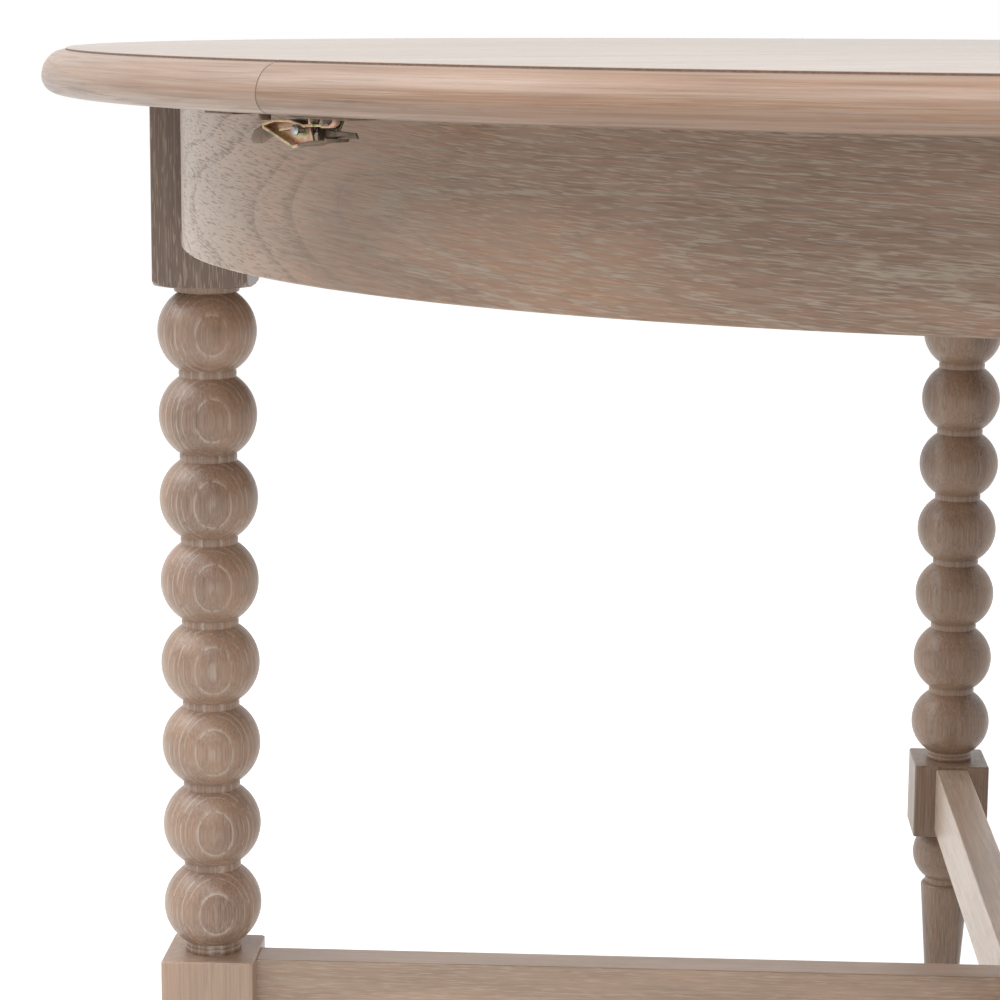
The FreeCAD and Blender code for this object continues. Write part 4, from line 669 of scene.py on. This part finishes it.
# The racks and pinions
# Milled mild steel, oiled, which shows as a dark, smooth grey. The racks are let into the runners and
# the pinions turn between them. The alignment pins in the parting edge are turned from the same steel.

milled_steel = plain_finish("milled_steel", "#8B8A87", "#6C6A66", 0.34, 1.5, metallic=1.0)
dress(milled_steel, "pinion_front", "pinion_back", "alignment_pins",
      *[f"rack_{half}_{side}" for half in ("left", "right") for side in ("front", "back")])


# The folded leaf in its well
# Two panels of glued oak boards, laid underside to underside and joined by two hinges at the back.
# The hinges and the alignment pins' bushes are rolled brass, a warm yellow with a soft shine.

for node, depth in (("leaf_panel_lower", 640), ("leaf_panel_upper", 770)):
    dress(limed_oak(f"limed_oak_{node}", "#C4A893", "#A2866F", "#DACDC0", pith=(0, -depth),
                    turn=along_floor(90), ring_gap=3.2, ring_line=0.25, lime_share=0.5,
                    boards=(100.0, -200.0, 90.0)), node)
brass = plain_finish("rolled_brass", "#C2A05A", "#A98848", 0.32, 3.0, metallic=1.0)
dress(brass, "leaf_hinges", "pin_bushes")


# The two halves of the top
# Glued oak boards that run along the parting line, lipped with oak that follows the edge. A small
# quirk, dark with painted shade, sets the flat off from the rounded rim. The edges that meet in the
# middle are eased and carry the same painted shade, and the right half is bored for the bushes.

TOP_THICKNESS = 25.0
RIM_OVER_REACH = 14.0
RIM_UNDER_REACH = 8.8
GIRTH_DROP = 16.0
QUIRK_DEPTH = 1.2
QUIRK_WIDTH = 0.5
RIM_STEPS = 14
RIM_RADIUS = 600.0
RIM_BLOCKS = (38.0, 745.5)
HALF_TURN_STEPS = 240
PARTING_EASE = 0.6
BUSH_SPACE = 0.1
BUSH_AROUND = 40
BUSH_PLACES = (-1, -1 / 3, 1 / 3, 1)
RIM_SLOT, QUIRK_SLOT = 1, 2
QUIRK_ROWS = (1, 2)


def rim_profile(top, radius):
    """Radius and height from the flat over the quirk and round the rim to the underside."""
    girth = top - GIRTH_DROP
    flat = radius - RIM_OVER_REACH
    over = GIRTH_DROP - QUIRK_DEPTH
    under = TOP_THICKNESS - GIRTH_DROP
    points = [(flat - QUIRK_WIDTH / 2, top), (flat, top - QUIRK_WIDTH / 2), (flat, top - QUIRK_DEPTH),
              (flat + QUIRK_WIDTH / 3, top - QUIRK_DEPTH - QUIRK_WIDTH / 2)]
    for step in range(RIM_STEPS + 1):
        lean = math.radians(90) * step / RIM_STEPS
        points.append((radius - (RIM_OVER_REACH - QUIRK_WIDTH) * (1 - math.sin(lean)),
                       girth + over * math.cos(lean)))
    for step in range(1, RIM_STEPS + 1):
        lean = math.radians(90) * step / RIM_STEPS
        points.append((radius - RIM_UNDER_REACH * (1 - math.cos(lean)), girth - under * math.sin(lean)))
    return points


def half_top(name, way, start):
    """Half of the round top as a closed skin, eased where it meets the other half."""
    low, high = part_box(name)
    radius = (high.x - low.x) / MM
    middle = (high.x if way < 0 else low.x) / MM
    profile = rim_profile(high.z / MM, radius)
    shape = bmesh.new()
    rows = []
    for step in range(HALF_TURN_STEPS + 1):
        turn = start + math.pi * step / HALF_TURN_STEPS
        rows.append([shape.verts.new(((middle + r * math.cos(turn)) * MM, r * math.sin(turn) * MM, z * MM))
                     for r, z in profile])
    for row, after in zip(rows, rows[1:]):
        for step in range(len(profile) - 1):
            face = shape.faces.new((row[step], row[step + 1], after[step + 1], after[step]))
            face.material_index = QUIRK_SLOT if step in QUIRK_ROWS else RIM_SLOT
    shape.faces.new([row[0] for row in rows])
    shape.faces.new([row[-1] for row in reversed(rows)])
    parting = shape.faces.new(rows[0][::-1] + rows[-1])
    # The eased parting edges take the quirk's dark finish, a painted shade in the gap between the halves
    bmesh.ops.bevel(shape, geom=list(parting.edges), offset=PARTING_EASE * MM, segments=3, profile=0.5,
                    affect="EDGES", clamp_overlap=True, material=QUIRK_SLOT)
    bmesh.ops.recalc_face_normals(shape, faces=shape.faces)
    return plain_mesh(name, shape)


def bored(mesh, bushes):
    """A half top with a bore for each bush."""
    low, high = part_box(bushes)
    radius = (high.z - low.z) / 2
    outer = high.y - radius
    shape = bmesh.new()
    for share in BUSH_PLACES:
        place = Matrix.Translation(((low.x + high.x) / 2, outer * share, (low.z + high.z) / 2))
        bmesh.ops.create_cone(shape, cap_ends=True, segments=BUSH_AROUND, radius1=radius + BUSH_SPACE * MM,
                              radius2=radius + BUSH_SPACE * MM, depth=high.x - low.x + 2 * BUSH_SPACE * MM,
                              matrix=place @ Matrix.Rotation(math.radians(90), 4, "Y"))
    tool = bpy.data.objects.new("bores", plain_mesh("bores", shape))
    blank = bpy.data.objects.new("blank", mesh)
    for obj in (tool, blank):
        bpy.context.scene.collection.objects.link(obj)
    modifier = blank.modifiers.new("bores", "BOOLEAN")
    modifier.object = tool
    modifier.solver = "EXACT"
    whole = blank.evaluated_get(bpy.context.evaluated_depsgraph_get())
    cut_mesh = bpy.data.meshes.new_from_object(whole)
    for obj in (tool, blank):
        bpy.data.objects.remove(obj)
    return cut_mesh


# Painted shade: a dull dark brown for the quirk and the eased parting edges, where shade falls
quirk_shade = plain_finish("painted_shade_quirk", "#7A6454", "#675344", 0.6, 2.0)
top_oak = limed_oak("limed_oak_top", "#B2A296", "#9A897B", "#C6BBB0", pith=(0, -735), turn=along_floor(90),
                    ring_gap=3.4, ring_line=0.15, lime_share=0.3, boards=(96.0, -34.0, 110.0), gloss=0.34)
for name, way, start, heading, ground, shade in (
        ("top_half_left", -1, math.radians(90), 180, "#A5846D", "#785C49"),
        ("top_half_right", 1, math.radians(-90), 0, "#A27E64", "#775945")):
    rim_oak = limed_oak(f"limed_oak_rim_{name.split('_')[-1]}", ground, shade, "#B7A595",
                        pith=(-30, 800), ring_gap=3.8, ring_line=0.12, lime_share=0.2, pore=(0.9, 40),
                        pore_band=(0.55, 0.72), hue="#AD9A8B", hue_share=0.4, wander=12.0,
                        bend=(heading, RIM_RADIUS), gloss=0.4, blocks=RIM_BLOCKS if way < 0 else None)
    half = half_top(name, way, start)
    half.materials.append(top_oak)
    half.materials.append(rim_oak)
    half.materials.append(quirk_shade)
    if way > 0:
        half = bored(half, "pin_bushes")
    piece(f"lipped_{name}", half, f"{name.split('_')[-1]}_half", "limed_oak_top", name)


# The latches under the parting line
# Sheet steel, punched and folded: a base plate under the right half with ears for the pivot and a
# strip hung from two ribs, and on the pivot a lever folded into a loop, with a handle and a
# leaf-shaped tongue. The tongue hooks over a plate on the left half, and screws hold both plates.

# Outlines and folds, as places along the rim and heights, and how far each lies behind the rim side

LATCH_DEPTH = 582.0
SHEET = 1.3
SHEET_EASE = 0.25
LOOP_REACH = 5.0
LOOP_WEB_SETBACK = 3.5
LOOP_PATH = [(13.8, 730.4), (2, 732.6), (-9.5, 732.4), (-19, 730.2), (-18.4, 727.8), (4.6, 719.4), (9, 720.4)]
LOOP_WEB = [(13, 730), (2, 732), (-9, 731.8), (-18, 729.8), (-17.6, 728), (4.8, 720.2), (15.6, 722.8)]
BELLY_REACH = 14.0
BELLY_PATH = [(8, 720.2), (15.6, 721.8), (28.2, 722.8), (29.6, 724.6)]
BELLY_WEB = [(13, 721.8), (28, 723.2), (29.6, 725.0), (29.6, 727.2), (18, 729.0), (13, 729.4)]
BELLY_WEB_SETBACK = 8.0
STRIP_PATH = [(-6, 726.9), (14, 729.6), (30.5, 730.2)]
STRIP_REACH = (0.2, 3.2)
HANDLE = [(28, 728.2), (43, 727.6), (44.5, 725.0), (30, 724.6)]
HANDLE_SETBACK = 6.0
TONGUE = [(-14, 725.2), (-17, 729.5), (-24, 729.2), (-30, 726.6), (-33, 722.2), (-31.5, 720.6), (-25, 720.4)]
TONGUE_SETBACK = 4.0
TONGUE_LINK = [(-17, 728.6), (-6, 730.2), (-1.5, 730.2)]
TONGUE_LINK_REACH = (4.6, 10.0)
RIB_PATHS = [[(18, 734), (18, 731)], [(35.6, 734), (35.4, 732.4), (33, 731), (27, 730.8)]]
RIB_REACH = (-1.5, 2.5)
BASE_PLATE = (4.0, 48.0, 26.0, 1.5)
PLATE_SETBACK = -3.0
EAR = [(0, 734), (18, 734), (12.5, 725.5), (8, 723.8), (3.5, 725.5)]
EAR_SETBACKS = (5.2, 20.0)
CATCH_PLATE = [(-60, 733.6), (-37.4, 733.6), (-37.4, 735), (-60, 735)]
CATCH_LIP = [(-40.5, 733.8), (-39, 730.6), (-37.6, 730.6), (-37.6, 733.8)]
CATCH_LIP_REACH = (14.0, 20.0)


def prism(shape, outline, front, back):
    """A flat sheet: an outline of (x, height) between two depths behind the rim side."""
    near = [shape.verts.new((x * MM, -(LATCH_DEPTH - front) * MM, z * MM)) for x, z in outline]
    far = [shape.verts.new((x * MM, -(LATCH_DEPTH - back) * MM, z * MM)) for x, z in outline]
    shape.faces.new(near)
    shape.faces.new(far[::-1])
    for step in range(len(outline)):
        after = (step + 1) % len(outline)
        shape.faces.new((near[after], near[step], far[step], far[after]))


def strip(shape, path, front, back):
    """A sheet folded along a path of (x, height)."""
    points = [Vector(point) for point in path]
    offset = []
    for step, point in enumerate(points):
        before = (point - points[step - 1]).normalized() if step else None
        after = (points[step + 1] - point).normalized() if step < len(points) - 1 else None
        along = (before or after) + (after or before)
        side = Vector((-along.y, along.x)).normalized()
        fold = side.dot(Vector((-(before or after).y, (before or after).x)))
        offset.append(point + side * SHEET / max(fold, 0.5))
    prism(shape, [tuple(point) for point in points + offset[::-1]], front, back)


def finish_sheet(shape, name, finish, side):
    """Ease a folded piece's edges and give back its mesh, turned over for the back latch."""
    bmesh.ops.recalc_face_normals(shape, faces=shape.faces)
    bmesh.ops.bevel(shape, geom=list(shape.edges), offset=SHEET_EASE * MM, segments=2, profile=0.5,
                    affect="EDGES", clamp_overlap=True)
    if side == "back":
        bmesh.ops.scale(shape, vec=(1, -1, 1), verts=shape.verts)
        bmesh.ops.reverse_faces(shape, faces=shape.faces)
    mesh = plain_mesh(name, shape)
    mesh.materials.append(finish)
    return mesh


def yellow_passivated_zinc(name, hues, metallic):
    """Zinc with a yellow passivate: a gold metal that drifts to pink and olive over about 7 mm."""
    material, tree, shader, place = new_finish(name)
    drift = add(tree, "ShaderNodeTexNoise", {"Vector": place, "Scale": 1 / (7 * MM), "Detail": 1.0})
    colours = add(tree, "ShaderNodeValToRGB", {0: drift})
    ramp = colours.color_ramp
    ramp.elements[0].position, ramp.elements[1].position = 0.30, 0.70
    ramp.elements[0].color, ramp.elements[1].color = linear(hues[0]), linear(hues[-1])
    for position, hue in zip((0.42, 0.50, 0.58), hues[1:-1]):
        ramp.elements.new(position).color = linear(hue)
    worn = add(tree, "ShaderNodeTexNoise", {"Vector": place, "Scale": 1 / (1.5 * MM), "Detail": 3.0})
    rough = add(tree, "ShaderNodeMapRange", {"Value": worn, "To Min": 0.2, "To Max": 0.42})
    feed(tree, shader, {"Base Color": colours, "Metallic": metallic, "Roughness": rough})
    return material


yellow_zinc = yellow_passivated_zinc("yellow_passivated_zinc",
                                     ("#7F8262", "#C6B78E", "#C9948A", "#A89A76", "#C8A878"), 0.7)
# Painted shade: the same zinc made dark and brown for the plates, belly and tongue that lie in shade
shaded_zinc = yellow_passivated_zinc("shaded_yellow_zinc",
                                     ("#584F42", "#6E5E4E", "#7E6354", "#625A48", "#75604F"), 0.5)
for side in ("front", "back"):
    base = bmesh.new()
    low_x, high_x, width, thickness = BASE_PLATE
    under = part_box("top_half_right")[0].z / MM
    plate = [(low_x, under - thickness), (high_x, under - thickness), (high_x, under), (low_x, under)]
    prism(base, plate, PLATE_SETBACK, PLATE_SETBACK + width)
    for setback in EAR_SETBACKS:
        prism(base, EAR, setback, setback + SHEET)
    ribs = bmesh.new()
    for path in RIB_PATHS:
        strip(ribs, path, *RIB_REACH)
    strip(ribs, STRIP_PATH, *STRIP_REACH)
    lever = bmesh.new()
    strip(lever, LOOP_PATH, 0, LOOP_REACH)
    prism(lever, LOOP_WEB, LOOP_WEB_SETBACK, LOOP_WEB_SETBACK + SHEET)
    belly = bmesh.new()
    prism(belly, HANDLE, HANDLE_SETBACK, HANDLE_SETBACK + SHEET)
    strip(belly, BELLY_PATH, 0, BELLY_REACH)
    prism(belly, BELLY_WEB, BELLY_WEB_SETBACK, BELLY_WEB_SETBACK + SHEET)
    tongue = bmesh.new()
    prism(tongue, TONGUE, TONGUE_SETBACK, TONGUE_SETBACK + SHEET)
    strip(tongue, TONGUE_LINK, *TONGUE_LINK_REACH)
    catch = bmesh.new()
    prism(catch, CATCH_PLATE, PLATE_SETBACK, PLATE_SETBACK + width)
    prism(catch, CATCH_LIP, *CATCH_LIP_REACH)
    for name, shape, finish, body, *nodes in (
            ("latch_plate", base, shaded_zinc, "right_half", f"latch_base_{side}"),
            ("latch_ribs", ribs, yellow_zinc, "right_half"),
            ("lever_belly", belly, shaded_zinc, f"latch_lever_{side}"),
            ("folded_lever", lever, yellow_zinc, f"latch_lever_{side}", f"latch_lever_{side}"),
            ("leaf_tongue", tongue, shaded_zinc, f"latch_lever_{side}", f"latch_tongue_{side}",
             f"latch_rivet_{side}"),
            ("catch_plate", catch, shaded_zinc, "left_half", f"latch_catch_{side}")):
        sheet = finish_sheet(shape, f"{name}_{side}", finish, side)
        piece(f"{name}_{side}", sheet, body, "yellow_zinc", *nodes)
dress(yellow_zinc, "latch_base_screws", "latch_catch_screws")


# The latches' pivots
# Steel pins, plated with bright zinc, with a domed head on the rim side. They are pushed through the
# ears and riveted over at the other end.

PIVOT_PLACE = (8.0, 728.0)
PIVOT_RADIUS = 1.6
PIVOT_HEAD_RADIUS = 2.5
PIVOT_HEAD = (-1.5, -0.8)
PIVOT_LENGTH = 24.0
PIVOT_DOME = 1.4
PIVOT_AROUND = 32

pins = bmesh.new()
for way in (-1, 1):
    x, z = PIVOT_PLACE
    front, back = PIVOT_HEAD
    profile = [(PIVOT_HEAD_RADIUS * 0.6, front - PIVOT_DOME * 0.8), (PIVOT_HEAD_RADIUS, front),
               (PIVOT_HEAD_RADIUS, back), (PIVOT_RADIUS, back), (PIVOT_RADIUS, PIVOT_LENGTH)]
    rings = []
    for radius, depth in profile:
        y = (LATCH_DEPTH - depth) * way
        rings.append([pins.verts.new(((x + radius * math.cos(math.tau * k / PIVOT_AROUND)) * MM, y * MM,
                                      (z + radius * math.sin(math.tau * k / PIVOT_AROUND)) * MM))
                      for k in range(PIVOT_AROUND)])
    for ring, after in zip(rings, rings[1:]):
        for k in range(PIVOT_AROUND):
            pins.faces.new((ring[k], ring[(k + 1) % PIVOT_AROUND], after[(k + 1) % PIVOT_AROUND], after[k]))
    pins.faces.new(rings[0])
    pins.faces.new(rings[-1])
bmesh.ops.recalc_face_normals(pins, faces=pins.faces)
pin_mesh = plain_mesh("pivot_pins", pins)
pin_mesh.materials.append(bright_zinc)
piece("pivot_pins", pin_mesh, "right_half", "steel", "latch_pivots")


# The floor and the light
# A plain pale floor, a soft white surround and two broad lamps. The camera and the reflections see the
# floor glow a little, so that it ends in white and keeps a faint shadow.

FLOOR_HALF = 12.0
FLOOR_GLOW = 0.56
SURROUND_LIGHT = 0.5
LAMPS = {"left_lamp": (-130, 45, 52), "front_lamp": (-50, 50, 54)}
LAMP_SIZE = 2.2
LAMP_REACH = 3.2
LAMP_AIM = Vector((0, 0, 0.5))
floor_mesh = bpy.data.meshes.new("floor")
floor_mesh.from_pydata([(-FLOOR_HALF, -FLOOR_HALF, 0), (FLOOR_HALF, -FLOOR_HALF, 0),
                        (FLOOR_HALF, FLOOR_HALF, 0), (-FLOOR_HALF, FLOOR_HALF, 0)], [], [(0, 1, 2, 3)])
floor = bpy.data.objects.new("floor", floor_mesh)
bpy.context.scene.collection.objects.link(floor)
floor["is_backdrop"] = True
paper = bpy.data.materials.new("pale_floor")
paper.use_nodes = True
floor_tree = paper.node_tree
floor_rays = add(floor_tree, "ShaderNodeLightPath").outputs
floor_seen = add(floor_tree, "ShaderNodeMath", {0: floor_rays["Is Camera Ray"],
                                                1: floor_rays["Is Glossy Ray"]}, operation="MAXIMUM")
floor_seen = add(floor_tree, "ShaderNodeMath", {0: floor_seen, 1: floor_rays["Is Transmission Ray"]},
                 operation="MAXIMUM")
floor_glow = add(floor_tree, "ShaderNodeMath", {0: floor_seen, 1: FLOOR_GLOW}, operation="MULTIPLY")
feed(floor_tree, floor_tree.nodes["Principled BSDF"], {
    "Base Color": linear("#F2F1EF"), "Roughness": 0.9, "Emission Color": linear("#FFFFFF"),
    "Emission Strength": floor_glow})
floor_mesh.materials.append(paper)

world = bpy.data.worlds.new("studio")
bpy.context.scene.world = world
world.use_nodes = True
sky = world.node_tree
rays = add(sky, "ShaderNodeLightPath").outputs
seen = add(sky, "ShaderNodeMath", {0: rays["Is Camera Ray"], 1: rays["Is Glossy Ray"]}, operation="MAXIMUM")
seen = add(sky, "ShaderNodeMath", {0: seen, 1: rays["Is Transmission Ray"]}, operation="MAXIMUM")
strength = add(sky, "ShaderNodeMapRange", {"Value": seen, "To Min": SURROUND_LIGHT, "To Max": 1.0})
feed(sky, sky.nodes["Background"], {"Color": linear("#FFFFFF"), "Strength": strength})

for name, (heading, rise, power) in LAMPS.items():
    lamp_data = bpy.data.lights.new(name, "AREA")
    lamp_data.shape = "SQUARE"
    lamp_data.size = LAMP_SIZE
    lamp_data.energy = power
    lamp = bpy.data.objects.new(name, lamp_data)
    heading, rise = math.radians(heading), math.radians(rise)
    away = Vector((math.cos(rise) * math.cos(heading), math.cos(rise) * math.sin(heading), math.sin(rise)))
    lamp.location = LAMP_AIM + LAMP_REACH * away
    lamp.rotation_euler = (LAMP_AIM - lamp.location).to_track_quat("-Z", "Y").to_euler()
    bpy.context.scene.collection.objects.link(lamp)


# The camera of the photograph
# Its place, lens and turns are found from where the beads, blocks, apron and rim lie in the picture.

CAMERA_LENS = 104.36
CAMERA_PLACE = Vector((1.0727, -1.4106, 0.7866))
CAMERA_HEADING = 48.086
CAMERA_DOWN = 9.742
CAMERA_ROLL = 0.386
camera_data = bpy.data.cameras.new("camera")
camera_data.sensor_width = 36.0
camera_data.lens = CAMERA_LENS
camera = bpy.data.objects.new("camera", camera_data)
camera.matrix_world = (Matrix.Translation(CAMERA_PLACE)
                       @ Matrix.Rotation(math.radians(CAMERA_HEADING), 4, "Z")
                       @ Matrix.Rotation(math.radians(90 - CAMERA_DOWN), 4, "X")
                       @ Matrix.Rotation(math.radians(CAMERA_ROLL), 4, "Z"))
bpy.context.scene.collection.objects.link(camera)
bpy.context.scene.camera = camera
bpy.context.scene.view_settings.view_transform = "Standard"

low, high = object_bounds()
